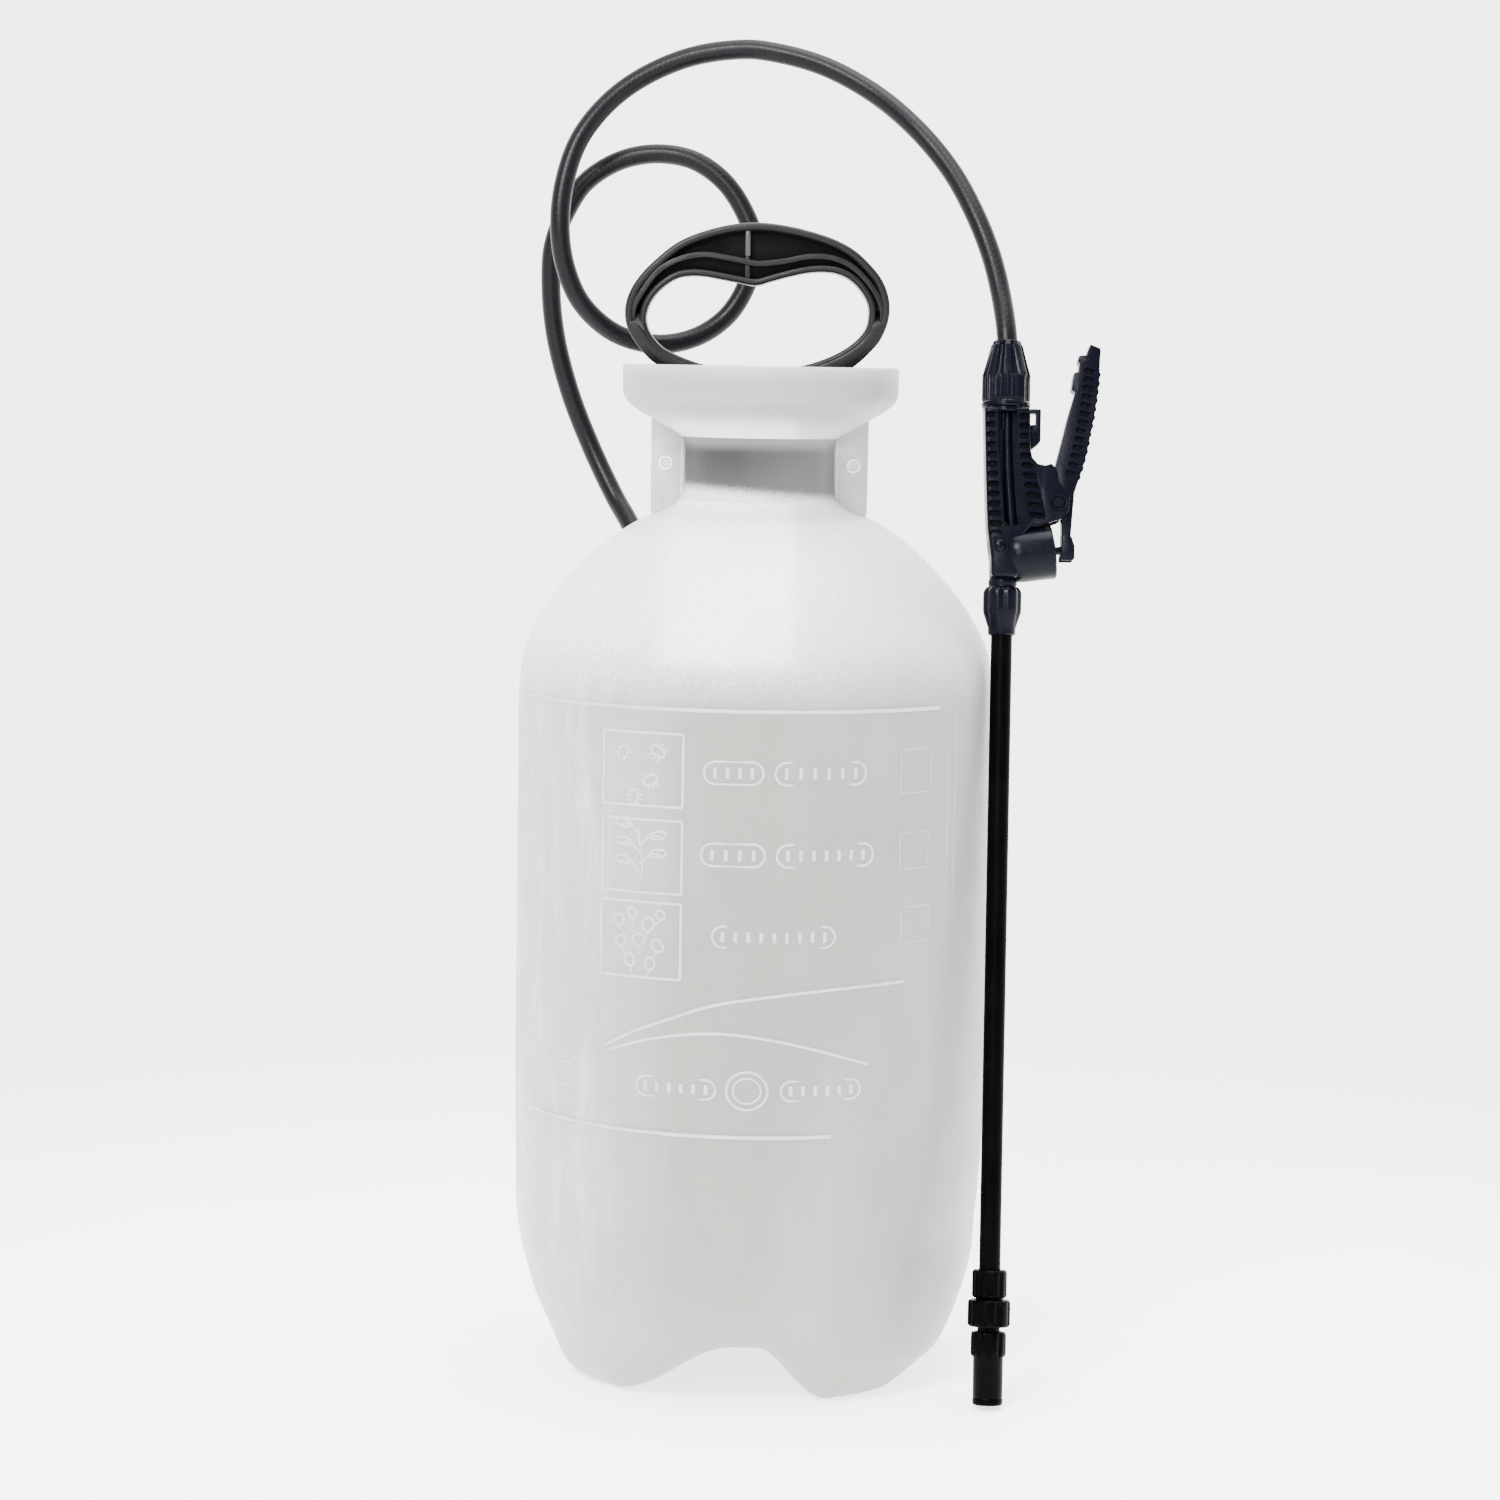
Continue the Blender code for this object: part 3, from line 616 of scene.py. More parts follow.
# ---------------- tank
# foot radius and height, then the same in the valley between two feet
BASE_RINGS = [
    (0.01, 18, 0.01, 18), (14, 18, 14, 18), (34, 14.5, 34, 18.2), (50, 7, 50, 19), (58, 2, 60, 20),
    (63.5, 0.15, 67, 21), (71.5, 0.15, 73.5, 22.5), (76, 2.4, 77.5, 25), (79.4, 6.5, 80.5, 29),
    (82.4, 13.5, 83.6, 34), (85.6, 23, 87.0, 41), (88.7, 35.5, 89.8, 49), (91.4, 50, 91.9, 59),
    (93.2, 68, 93.2, 68), (94.5, 88, 94.5, 88), (TANK_R, 125, TANK_R, 125), (TANK_R, 150, TANK_R, 150),
]
SIDE_UP = [
    (TANK_R, 150), (TANK_R, 180), (TANK_R, 210), (TANK_R, 240), (TANK_R, 268), (94.6, 280), (93.0, 289.5),
    (89.3, 298.5), (84.8, 306), (80.0, 312.8), (73.6, 320.0), (66.4, 327.4), (58.8, 334.0),
    (52.2, 338.6), (44.6, 342.8), (37.4, 345.5), (32.6, 348.8), (30.2, 353), (29.9, 358)]
FUNNEL = [
    (29.9, 358), (29.9, 366), (29.9, 371), (31.4, 374.8), (37.4, 378.4), (44.4, 382.4),
    (50.0, 385.8), (53.2, 388.6), (54.7, 391.2), (55.0, 394.0)]
LIP = [
    (55.0, 394.0), (RIM_R, 397), (RIM_R, RIM_TOP - 1.2), (54.7, RIM_TOP - 0.3), (53.8, RIM_TOP),
    (53.2, RIM_TOP), (52.2, RIM_TOP - 0.4), (51.8, RIM_TOP - 1.4), (51.7, 396), (49.2, 391.2),
    (42, 385.8), (36.8, 381.3), (34.6, 378.6), (26.6, 378.6), (26.6, 352)]
INSIDE = [
    (27.8, 347.5), (36, 342.6), (50.6, 336.8), (64.6, 325.6), (77.7, 311), (86.2, 298.6),
    (91.9, 282), (92.5, 268), (92.5, 125)]


def foot_share(azimuth):
    """How much of a foot there is: steep on one side, a long slope on the other."""
    past = (degrees(azimuth) - FOOT_AZIMUTH) % 90
    after = (FOOT_TRAIL - past) / (FOOT_TRAIL - FOOT_FLAT)
    before = (past - 90 + FOOT_LEAD) / (FOOT_LEAD - FOOT_FLAT)
    return eased(max(after, before))


def foot_bulge(azimuth, z):
    """How far the base stands out further on its two sides."""
    right = RIGHT_BULGE * between(z, 4, 17) * min(1.0, max(0.0, (62 - z) / 45))
    left = LEFT_BULGE * between(z, 15, 34) * between(z, 88, 50)
    return right * max(0.0, sin(azimuth)) ** 3 + left * max(0.0, -sin(azimuth)) ** 3


def tank_shell():
    segs = 240
    rings = spline_uniform(BASE_RINGS, 5)
    rings += [(p.x, p.y, p.x, p.y) for p in spline(SIDE_UP, 5)[1:]]
    rings += [(p.x, p.y, p.x, p.y) for p in spline(FUNNEL, 4)[1:]]
    rings += [(r, z, r, z) for r, z in LIP[1:] + INSIDE]
    points = []
    for foot_r, foot_z, valley_r, valley_z in rings:
        for k in range(segs):
            azimuth = 2 * pi * k / segs
            share = foot_share(azimuth)
            r = valley_r + (foot_r - valley_r) * share
            z = valley_z + (foot_z - valley_z) * share
            r += foot_bulge(azimuth, z) * between(r, 52, 72)
            points.append((r * sin(azimuth), -r * cos(azimuth), z))
    shell = obj_from("tank_shell", points, grid(len(rings), segs), TANK, sharp=50)
    # the neck's faces take NECK's painted shade
    shell.data.materials.append(NECK)
    for face in shell.data.polygons:
        middle = face.center / MM
        reach = hypot(middle.x - TANK_X, middle.y)
        if NECK_IN < reach < NECK_OUT and NECK_LOW < middle.z < NECK_TOP:
            face.material_index = 1
    return shell


def spline_uniform(points, per_span):
    """Smooth through rows of numbers, with the same number of steps in each span."""
    knots = [points[0]] + list(points) + [points[-1]]
    out = []
    for i in range(1, len(knots) - 2):
        p0, p1, p2, p3 = knots[i - 1:i + 3]
        for k in range(per_span):
            t = k / per_span
            out.append(tuple(
                0.5 * (2 * b + (c - a) * t + (2 * a - 5 * b + 4 * c - d) * t * t
                       + (3 * b - a - 3 * c + d) * t ** 3)
                for a, b, c, d in zip(p0, p1, p2, p3)))
    out.append(tuple(points[-1]))
    return out


def raised_line(path, width, height):
    """A low rounded bead along (u, z) points on the tank's side."""
    ring = 8
    points = []
    count = len(path)
    for i, (u, z) in enumerate(path):
        a = path[max(i - 1, 0)]
        b = path[min(i + 1, count - 1)]
        du, dz = b[0] - a[0], b[1] - a[1]
        size = hypot(du, dz) or 1.0
        nu, nz = -dz / size, du / size
        for k in range(ring):
            t = -1 + 2 * k / (ring - 1)
            lift = height * sqrt(max(0.0, 1 - t * t)) - 0.12
            uu = u + nu * t * width / 2
            zz = z + nz * t * width / 2
            angle = uu / TANK_R
            r = TANK_R + lift
            points.append((r * sin(angle), -r * cos(angle), zz))
    return points, grid(count, ring, across=ring - 1)


def fine_path(route, curved):
    """The route in steps of about RELIEF_STEP, so that it bends with the tank."""
    pts = [Vector((u, z, 0)) for u, z in route]
    if curved:
        pts = spline(pts, 12)
    total = sum((b - a).length for a, b in zip(pts, pts[1:]))
    return [(p.x, p.y) for p in even(pts, max(2, int(total / RELIEF_STEP)))]


def relief():
    """The panel's raised marks, as one mesh, painted lighter than the body as painted highlights. Those lower
    than FAINT_BELOW are painted hardly lighter.
    """
    lines = []

    def line(route, width=1.3, height=0.55, curved=False):
        lines.append((fine_path(route, curved), width, height))

    def frame_box(u0, z0, u1, z1, width=1.3, height=0.55):
        corners = [(u0, z0), (u1, z0), (u1, z1), (u0, z1), (u0, z0)]
        for side in zip(corners, corners[1:]):
            line(side, width, height)

    def oval(u, z, ru, rz, tilt=0.0, width=1.15, height=0.5):
        route = []
        for k in range(17):
            a = 2 * pi * k / 16
            route.append(turned(u, z, ru * cos(a), rz * sin(a), tilt))
        lines.append((route, width, height))

    def pill(u0, u1, z, tall):
        """A long low lozenge with upright dashes inside it, where a raised word would be."""
        r = tall / 2
        route = [((u0 + u1) / 2 + u, z + v) for u, v in round_ended((u1 - u0) / 2 - r, r)]
        route.append(route[0])
        lines.append((route, 1.1, 0.5))
        count = max(2, int((u1 - u0 - tall) / 4.6))
        for k in range(count + 1):
            u = u0 + r + (u1 - u0 - tall) * k / count
            line([(u, z - r * 0.5), (u, z + r * 0.5)], 1.7, 0.5)

    top, low = PANEL_TOP, PANEL_LOW
    line([(-128, top), (-90, top), (0, top), (80, top)], 1.5, 0.6)
    line([(-110, low), (-60, low), (0, low), (32, low)], 1.5, 0.6)
    line([(PANEL_RIGHT, top), (PANEL_RIGHT, 200)], 1.0, 0.28)
    line([(PANEL_RIGHT + 5, top), (PANEL_RIGHT + 5, 200)], 1.0, 0.28)
    for k, (u0, z0, u1, z1) in enumerate(SQUARES):
        frame_box(u0, z0, u1, z1)
        mu, mz = (u0 + u1) / 2, (z0 + z1) / 2
        if k == 0:
            for du, dz, tilt in ((-8, 6, 0.9), (7, 7, -0.6), (4, -4, 0.4), (-3, -11, 1.3)):
                oval(mu + du, mz + dz, 3.2, 1.8, tilt)
                for side in (-1, 1):
                    for leg in (-1.6, 0, 1.6):
                        line([turned(mu + du, mz + dz, leg, side * 1.8, tilt),
                              turned(mu + du, mz + dz, leg * 1.5, side * 3.6, tilt)], 0.9, 0.4)
        if k == 1:
            line([(mu, z0 + 3), (mu + 1, mz - 3), (mu, mz + 4), (mu - 1, z1 - 3)], 1.0, 0.45, True)
            for side, rise in ((-1, -6), (1, -3), (-1, 1), (1, 4), (-1, 8)):
                line([(mu, mz + rise), (mu + side * 5, mz + rise + 4), (mu + side * 10, mz + rise + 3)],
                     1.1, 0.5, True)
                oval(mu + side * 7.5, mz + rise + 4.2, 3.4, 1.5, side * 0.15)
        if k == 2:
            for du, dz, size in ((-9, 7, 2.6), (-3, 10, 2.2), (4, 6, 2.8), (9, 10, 2.0), (-8, -1, 2.4),
                                 (0, 0, 2.6), (8, -2, 2.6), (-4, -8, 2.6), (5, -9, 2.4)):
                oval(mu + du, mz + dz, size, size * 0.8, 0.3 * du)
                line([(mu + du, mz + dz - size), (mu + du * 0.6, mz + dz - size - 3.5)], 0.9, 0.4)
    for u0, z0, u1, z1 in TICKBOXES:
        frame_box(u0, z0, u1, z1, 1.0, 0.28)
    for u0, u1, z, tall in BLOCKS:
        pill(u0, u1, z, tall)
    oval(-1.0, 128.0, 8.0, 7.4, 0.0, 1.1, 0.4)
    oval(-1.0, 128.0, 5.4, 4.9, 0.0, 0.9, 0.35)
    line(UPPER_ARC, 1.3, 0.55, True)
    line(LOWER_ARC, 1.3, 0.55, True)
    for k in range(4):
        z = 123.5 + 4.4 * k
        line([(-115, z), (-115 + (24 if k % 2 else 38), z)], 1.0, 0.4)
    made = []
    for mat, faint in ((RAISED, False), (FAINT, True)):
        points = []
        faces = []
        for path, width, height in lines:
            if (height < FAINT_BELOW) != faint:
                continue
            own, own_faces = raised_line(path, width, height)
            start = len(points)
            points += own
            faces += [tuple(start + i for i in face) for face in own_faces]
        made.append(obj_from("tank_panel_relief", points, faces, mat, sharp=None))
    return join("tank_panel_relief", made)


RELIEF_STEP = 1.5
FAINT_BELOW = 0.29
PANEL_TOP = 273.2
PANEL_LOW = 109.9
PANEL_RIGHT = 86.6
SQUARES = [(-62, 235.9, -27.5, 263.9), (-62, 202.6, -27.5, 230.6), (-62.3, 169.8, -27.5, 198.9)]
TICKBOXES = [(60, 241.2, 75.8, 257.9), (60.2, 211.7, 75, 225.8), (61.4, 183.2, 76, 197)]
BLOCKS = [(-19.3, 3.5, 249.8, 8.6), (8, 44, 249.8, 8.6), (-20, 4.5, 218.5, 8.6), (9, 47.7, 218.5, 8.6),
          (-15.2, 32.3, 187.2, 8.0), (-45, -13, 128, 7.6), (12, 44, 128, 7.6)]
UPPER_ARC = [(-59.3, 142.1), (-46, 148.8), (-32.9, 154), (-14.8, 160.5), (5.4, 164.1), (31.5, 166.8),
             (63.1, 168.2)]
LOWER_ARC = [(-57.8, 140.3), (-39.9, 146.1), (-19.7, 149.5), (-3.1, 149.3), (18.4, 145.5), (47.3, 137.2)]


def eyelet_ring(side, radius, y, count):
    turns = [2 * pi * k / count for k in range(count)]
    return [Vector((side * EYELET_X + radius * cos(a), y, EYELET_Z + radius * sin(a)))
            for a in turns]


def webs():
    """The two flat webs beside the neck, each with its eyelet, whose rings are painted near white as a painted
    highlight, and a strip along its inner edge painted light.
    """
    parts = []
    for side in (-1, 1):
        outline = [(27.8, 352), (33, 346.6), (38, 343.9), (42.6, 342.6), (43.2, 345), (43.35, 352),
                   (43.4, 372), (43.4, 383.2), (36, 378.3), (27.8, 376.6)]
        outline = [(side * x, z) for x, z in outline]
        if side < 0:
            outline.reverse()
        parts.append(plate("web", outline, -2.2, 2.2, WEB, bevel=0.8))
        # the eyelet and its pip, painted near white as a highlight
        parts.append(sweep("eyelet", eyelet_ring(side, 2.4, -2.3, 40), 0.6, EYELET, segs=12, closed=True))
        parts.append(sweep("pip", eyelet_ring(side, 0.9, -2.25, 20), 0.28, EYELET, segs=8, closed=True))
        # the strip along the inner edge, painted lighter as a highlight
        left, right = sorted((side * 30.4, side * 31.4))
        parts.append(box("strip", (left, -2.35, 349.5), (right, -1.9, 376.4), INNER, bevel=0.15))
    return join("neck_webs", parts)


shell = tank_shell()
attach(shell, "tank")
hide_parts("tank")
marks = relief()
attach(marks, "tank")
neck_webs = webs()
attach(neck_webs, "tank")


# ---------------- hose
def to_tank(x, z):
    return tuple(SPRAYER.inverted() @ (WAND @ Vector((x, 0, z))))


def from_outlet(out, sideways=0.0):
    return tuple(SPRAYER.inverted() @ (OUTLET_AT @ Vector((0, sideways, out))))


HOSE_ROUTE = [
    to_tank(0, 404.2), to_tank(0, 411), to_tank(0, 420),
    (94.9, 5.1, 434.9), (90.8, 13.0, 450.9), (84.3, 20.8, 467.0), (75.4, 30.4, 483.3),
    (62.1, 40.5, 499.7), (44.9, 53.1, 514.8), (24.3, 62.4, 526.3), (3.7, 69.0, 532.2),
    (-9.6, 71.8, 533.5), (-34.1, 74, 529.4), (-59.1, 72, 516.1), (-75.7, 66, 497.0), (-82.6, 61, 476.6),
    (-83.9, 58, 458.0), (-81.3, 60, 441.7), (-74.6, 62, 427.5), (-61.0, 66, 415.8), (-44.1, 70, 411.5),
    (-27.4, 74, 414.7), (-13.7, 77, 424.6), (-5.6, 79, 439.7), (-3.8, 80, 455.1), (-8.4, 82, 468.0),
    (-17.2, 84, 480.2), (-30.0, 86, 488.6), (-45.7, 88, 491.0), (-61.1, 89, 487.8), (-74.9, 90, 478.9),
    (-82.4, 91, 468.0), (-88.4, 92, 452.5), (-89.3, 93, 435.3), (-87.2, 94, 414.7), (-80.8, 94, 390.8),
    (-71.6, 93.6, 368.0), from_outlet(40, 0.4), from_outlet(30), from_outlet(21), from_outlet(10.4)]
hose_path = even(spline(HOSE_ROUTE, 24), 420)
hose = sweep("hose_skin", hose_path, HOSE_R, HOSE, segs=28)
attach(hose, "tank")
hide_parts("hose")


# ---------------- pump handle
HANDLE_OUT = [
    (-1.4, 459.5), (7.7, 458.7), (18.0, 456.6), (28.3, 453.4), (36.3, 449.2), (42.3, 443.9), (47.2, 438.0),
    (50.0, 431.2), (50.6, 426.0), (49.9, 420.9), (46.9, 413.7), (42.3, 408.4), (37.2, 403.7), (28, 398.4),
    (14, 394.8), (0, 394.2), (-14, 394.8), (-29, 398.0), (-41.3, 402.9), (-47.1, 407.9), (-51.4, 413.6),
    (-53.8, 418.8), (-54.3, 425.1), (-52.6, 431.5), (-48.5, 438.1), (-41.9, 444.9), (-33.3, 451.6),
    (-21.9, 456.3), (-10.1, 459.0)]
HANDLE_IN = [
    (-2.6, 434.8), (3.9, 436.6), (10.4, 438.4), (17.5, 440.0), (24.6, 440.5), (29.8, 439.8), (35.0, 437.3),
    (39.0, 433.3), (41.9, 428.2), (42.4, 423.5), (41.3, 418.4), (37.0, 413.2), (30.4, 408.7), (21.7, 405.0),
    (11, 402.3), (0, 401.4), (-10, 401.6), (-19.9, 402.7), (-25.5, 404.0), (-32.6, 406.5), (-38.6, 409.4),
    (-43.0, 413.6), (-45.2, 417.5), (-45.9, 421.9), (-44.6, 426.8), (-41.7, 431.2), (-37.2, 435.2),
    (-33.1, 437.4), (-28.3, 438.2), (-22.8, 438.0), (-17.6, 437.2), (-10.1, 435.9)]


WEB_HALF = 3.4
WEB_HOLLOW_FROM = 426.5
WEB_SOLID_BELOW = 419.5
WEB_HANDLE_BELOW = 423.5


def loop_curve(points, count):
    """A smooth closed loop through (x, z) points, in count even steps."""
    closed = [Vector((x, z, 0)) for x, z in points]
    tripled = closed[-3:] + closed + closed[:4]
    dense = spline(tripled, 10)[30:-30]
    return even(dense, count)[:-1]


def offset(loop, distance):
    """The loop moved sideways by a distance."""
    out = []
    count = len(loop)
    for i in range(count):
        t = (loop[(i + 1) % count] - loop[i - 1]).normalized()
        out.append(loop[i] + Vector((-t.y, t.x, 0)) * distance)
    return out


def band(name, one, two, half, mat):
    """A closed band between two loops of the same count, from -half to half."""
    count = len(one)
    points = []
    for y in (-half, half):
        points += [(p.x, y, p.y) for p in one]
        points += [(p.x, y, p.y) for p in two]
    back = 2 * count
    faces = []
    for i in range(count):
        n = (i + 1) % count
        faces.append((i, count + i, count + n, n))
        faces.append((back + i, back + n, back + count + n, back + count + i))
        faces.append((i, n, back + n, back + i))
        faces.append((count + i, back + count + i, back + count + n, count + n))
    return obj_from(name, points, faces, mat)


def ribbon(name, path, thick, half, mat):
    """A strip of even thickness that follows an (x, z) path."""
    left = []
    right = []
    for i, p in enumerate(path):
        t = (path[min(i + 1, len(path) - 1)] - path[max(i - 1, 0)]).normalized()
        side = Vector((-t.y, t.x, 0)) * thick / 2
        left.append((p.x + side.x, p.y + side.y))
        right.append((p.x - side.x, p.y - side.y))
    return plate(name, right + left[::-1], -half, half, mat, bevel=0.3)


def pump_handle():
    """Two rims round a recessed web that rises to flush at its lower sides, ribs and the hub."""
    count = 220
    outer = loop_curve(HANDLE_OUT, count)
    inner = loop_curve(HANDLE_IN, count)
    depth = 10.2
    sign = 1 if offset(outer, 1)[0].y < outer[0].y else -1
    outer_in = offset(outer, sign * 3.3)
    inner_out = offset(inner, -sign * 2.6)
    rim = band("rim", outer, outer_in, depth, HANDLE)
    soften(rim, 1.5, 5)
    eye = band("eye", inner_out, inner, depth, HANDLE)
    soften(eye, 1.2, 5)
    web = band("web", offset(outer, sign * 1.2), offset(inner, -sign * 1.2), WEB_HALF, RECESS)
    for vertex in web.data.vertices:
        solid = between(vertex.co.z / MM, WEB_HOLLOW_FROM, WEB_SOLID_BELOW)
        vertex.co.y = copysign((WEB_HALF + 7.2 * solid) * MM, vertex.co.y)
    soften(web, 1.3, 4)
    # painted shade: the recessed web is dark, and its part below WEB_HANDLE_BELOW, flush with the rims, takes
    # the handle's own black
    web.data.materials.append(HANDLE)
    for face in web.data.polygons:
        face.material_index = 1 if face.center.z < WEB_HANDLE_BELOW * MM else 0
    parts = [rim, eye, web]
    # painted highlight: the rib's upper part takes the lighter rib material, its lower part the handle's
    for half, low, high, mat in ((depth - 1.2, 446.2, 458.4, RIB_HIGHLIGHT), (depth - 1.6, 435.5, 446.2, HANDLE)):
        parts.append(box("middle_rib", (-7.1, -half, low), (-4.9, half, high), mat, bevel=0.6))
    wave = [(-51.6, 420.2), (-50.6, 426), (-47, 432.6), (-42.6, 438.6), (-37.5, 442.6), (-30.4, 445.5),
            (-22.5, 446.6), (-15.4, 445.7), (-9, 444.6), (-2, 443.4), (8, 444.4), (18, 446.4), (27, 446.2),
            (34.6, 443.2), (41, 437.6), (45.4, 431.6), (47.8, 424.6), (47.4, 419.6)]
    parts.append(ribbon("wave", spline([(x, z, 0) for x, z in wave], 8), 2.2, depth - 0.6, HANDLE))
    parts.append(lathe("hub", [(6.4, 386.9), (12.2, 386.9), (12.5, 387.3), (12.5, 397), (0, 397), (0, 396.3),
                               (6.4, 396.3)], HANDLE, SPRAYER, 48))
    return join("handle_shape", parts)


handle = pump_handle()
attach(handle, "handle")
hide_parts("pump_handle")


# ---------------- nuts
def hose_nut():
    def ribs(angle, r, z):
        if r < 6.6 and z < 410:
            return r
        wide = 0.5 + 0.5 * cos(8 * (angle + pi / 2))
        use = r
        if 394.5 < z < 417.5:
            use = r - 1.25 * (1 - min(1.0, wide * 1.9) ** 1.5)
        if 394.0 < z < 404.5:
            use = r - 0.6 + 0.16 * cos(32 * angle) + 0.44 * min(1.0, max(0.0, (wide - 0.7) / 0.15))
        return use
    profile = [(9.3, 392.0), (9.7, 392.4), (9.7, 393.7), (9.4, 394.0), (9.4, 394.6)]
    profile += [(9.6, 395 + 1.5 * k) for k in range(7)]
    profile += [(9.65, 404.6), (9.1, 406.5), (8.4, 409), (7.6, 412), (6.9, 414.6), (6.3, 416.9), (5.8, 417.4),
                (5.5, 418.4), (5.2, 418.7), (4.4, 418.7), (4.4, 404.5), (6.4, 402), (6.4, 392.0)]
    return lathe("hose_nut_shape", profile, GRIP, WAND, 160, ribs, NUT_SHARP)


def wand_nut():
    def ribs(angle, r, z):
        if r < 5.9:
            return r
        wave = abs(cos(3 * angle + pi / 2))
        return r - 0.8 * wave ** 6 if z > 308 else r
    profile = [(5.0, 301.5), (5.4, 301.8), (5.5, 304.6), (5.9, 305.6), (7.2, 309.6), (7.5, 310.6), (7.6, 312),
               (7.6, 316), (7.6, 318.4), (7.2, 319.4), (6.3, 320.5), (5.8, 320.6), (5.8, 311.4), (4.5, 311.4),
               (4.5, 301.5)]
    return lathe("wand_nut_shape", profile, GRIP, WAND, 96, ribs)


def ribbed_collar(name, radius, low, high, bore, count, depth):
    steps = [(radius - 0.7, low), (radius - 0.1, low + 0.6), (radius, low + 1.0)]
    steps += [(radius, low + 1.0 + (high - low - 2) * k / 5) for k in range(1, 5)]
    steps += [(radius, high - 1.0), (radius - 0.1, high - 0.6), (radius - 0.7, high), (bore, high),
              (bore, low)]
    return lathe(name, steps, WANDS, WAND, 120,
                 ribbed(count, depth, bore + 0.3, low + 0.8, high - 0.8), NUT_SHARP)


gun_nut = hose_nut()
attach(gun_nut, "tank")
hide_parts("gun_hose_nut")
nut = wand_nut()
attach(nut, "tank")
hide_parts("wand_nut")
tube = lathe("wand_tube_shape", [(4.2, 43.3), (4.2, 310.8), (2.2, 310.8), (2.2, 43.3)], WANDS, WAND, 48)
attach(tube, "tank")
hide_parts("wand_tube")
upper = ribbed_collar("nozzle_nut_shape", 6.8, 41.6, 52.4, 4.5, 10, 0.55)
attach(upper, "tank")
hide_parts("nozzle_nut")
middle = join("nozzle_body_shape", [
    ribbed_collar("collar", 8.3, 30.4, 40.8, 4.4, 8, 0.7),
    lathe("spigots", [(2.9, 13.5), (4.4, 13.5), (4.4, 30.4), (6.6, 30.4), (6.6, 40.8), (5.4, 40.8),
                      (5.4, 48.2), (4.5, 48.2), (4.5, 42.9), (2.9, 42.9)], WANDS, WAND, 40)])
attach(middle, "tank")
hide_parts("nozzle_body")


def nozzle_cap():
    profile = [(1.2, 0.6), (4.6, 0.6), (5.0, 0.1), (5.5, 0.0), (5.9, 0.5), (5.95, 2.4), (5.75, 2.8),
               (5.85, 3.2), (5.9, 18.4), (6.1, 18.8), (6.6, 19.0), (6.9, 19.8), (6.9, 22), (6.9, 25),
               (6.9, 27.4), (6.6, 28.2), (6.2, 28.4), (5.3, 28.4), (5.3, 9.4), (3.2, 9.4), (1.2, 6)]
    return lathe("nozzle_cap_shape", profile, WANDS, WAND, 100,
                 ribbed(10, 0.55, 6.2, 19.6, 27.6), NUT_SHARP)


cap = nozzle_cap()
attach(cap, "nozzle_cap")
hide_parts("nozzle_cap")


# ---------------- shut-off grip
GRIP_LEFT = [(-8.8, 391.6), (-8.6, 384), (-8.3, 376.5), (-7.8, 362.3), (-7.1, 348), (-6.8, 343.3),
             (-6.2, 338.6), (-5.2, 331), (-5.0, 324)]
COLUMN_OUT = [(9.2, 391.6), (9.4, 381.7), (9.6, 375.2), (10.6, 370.8), (11.9, 366.4), (13.7, 359.9),
              (15.4, 352.5), (16.6, 346.6)]
RECESS_LEFT = [(-3.6, 390.2), (-3.3, 376.6), (-1.9, 362.4), (-0.7, 350), (-0.2, 344)]
RECESS_RIGHT = [(4.0, 390.2), (4.2, 378.7), (5.3, 367.3), (7.0, 357.8), (8.6, 349.3), (9.2, 345.2)]
HALF = 8.4


def slot_tool(x, z, length, height, tilt, y_low, y_high):
    """A round-ended cutter."""
    ends = round_ended((length - height) / 2, height / 2)
    return plate("slot", [turned(x, z, u, v, tilt) for u, v in ends], y_low, y_high, GRIP, WAND)


def at_height(line, z):
    """Where a falling line of (x, z) points is at height z."""
    for (x0, z0), (x1, z1) in zip(line, line[1:]):
        if z1 <= z <= z0:
            return x0 + (x1 - x0) * (z0 - z) / (z0 - z1)
    return line[-1][0]


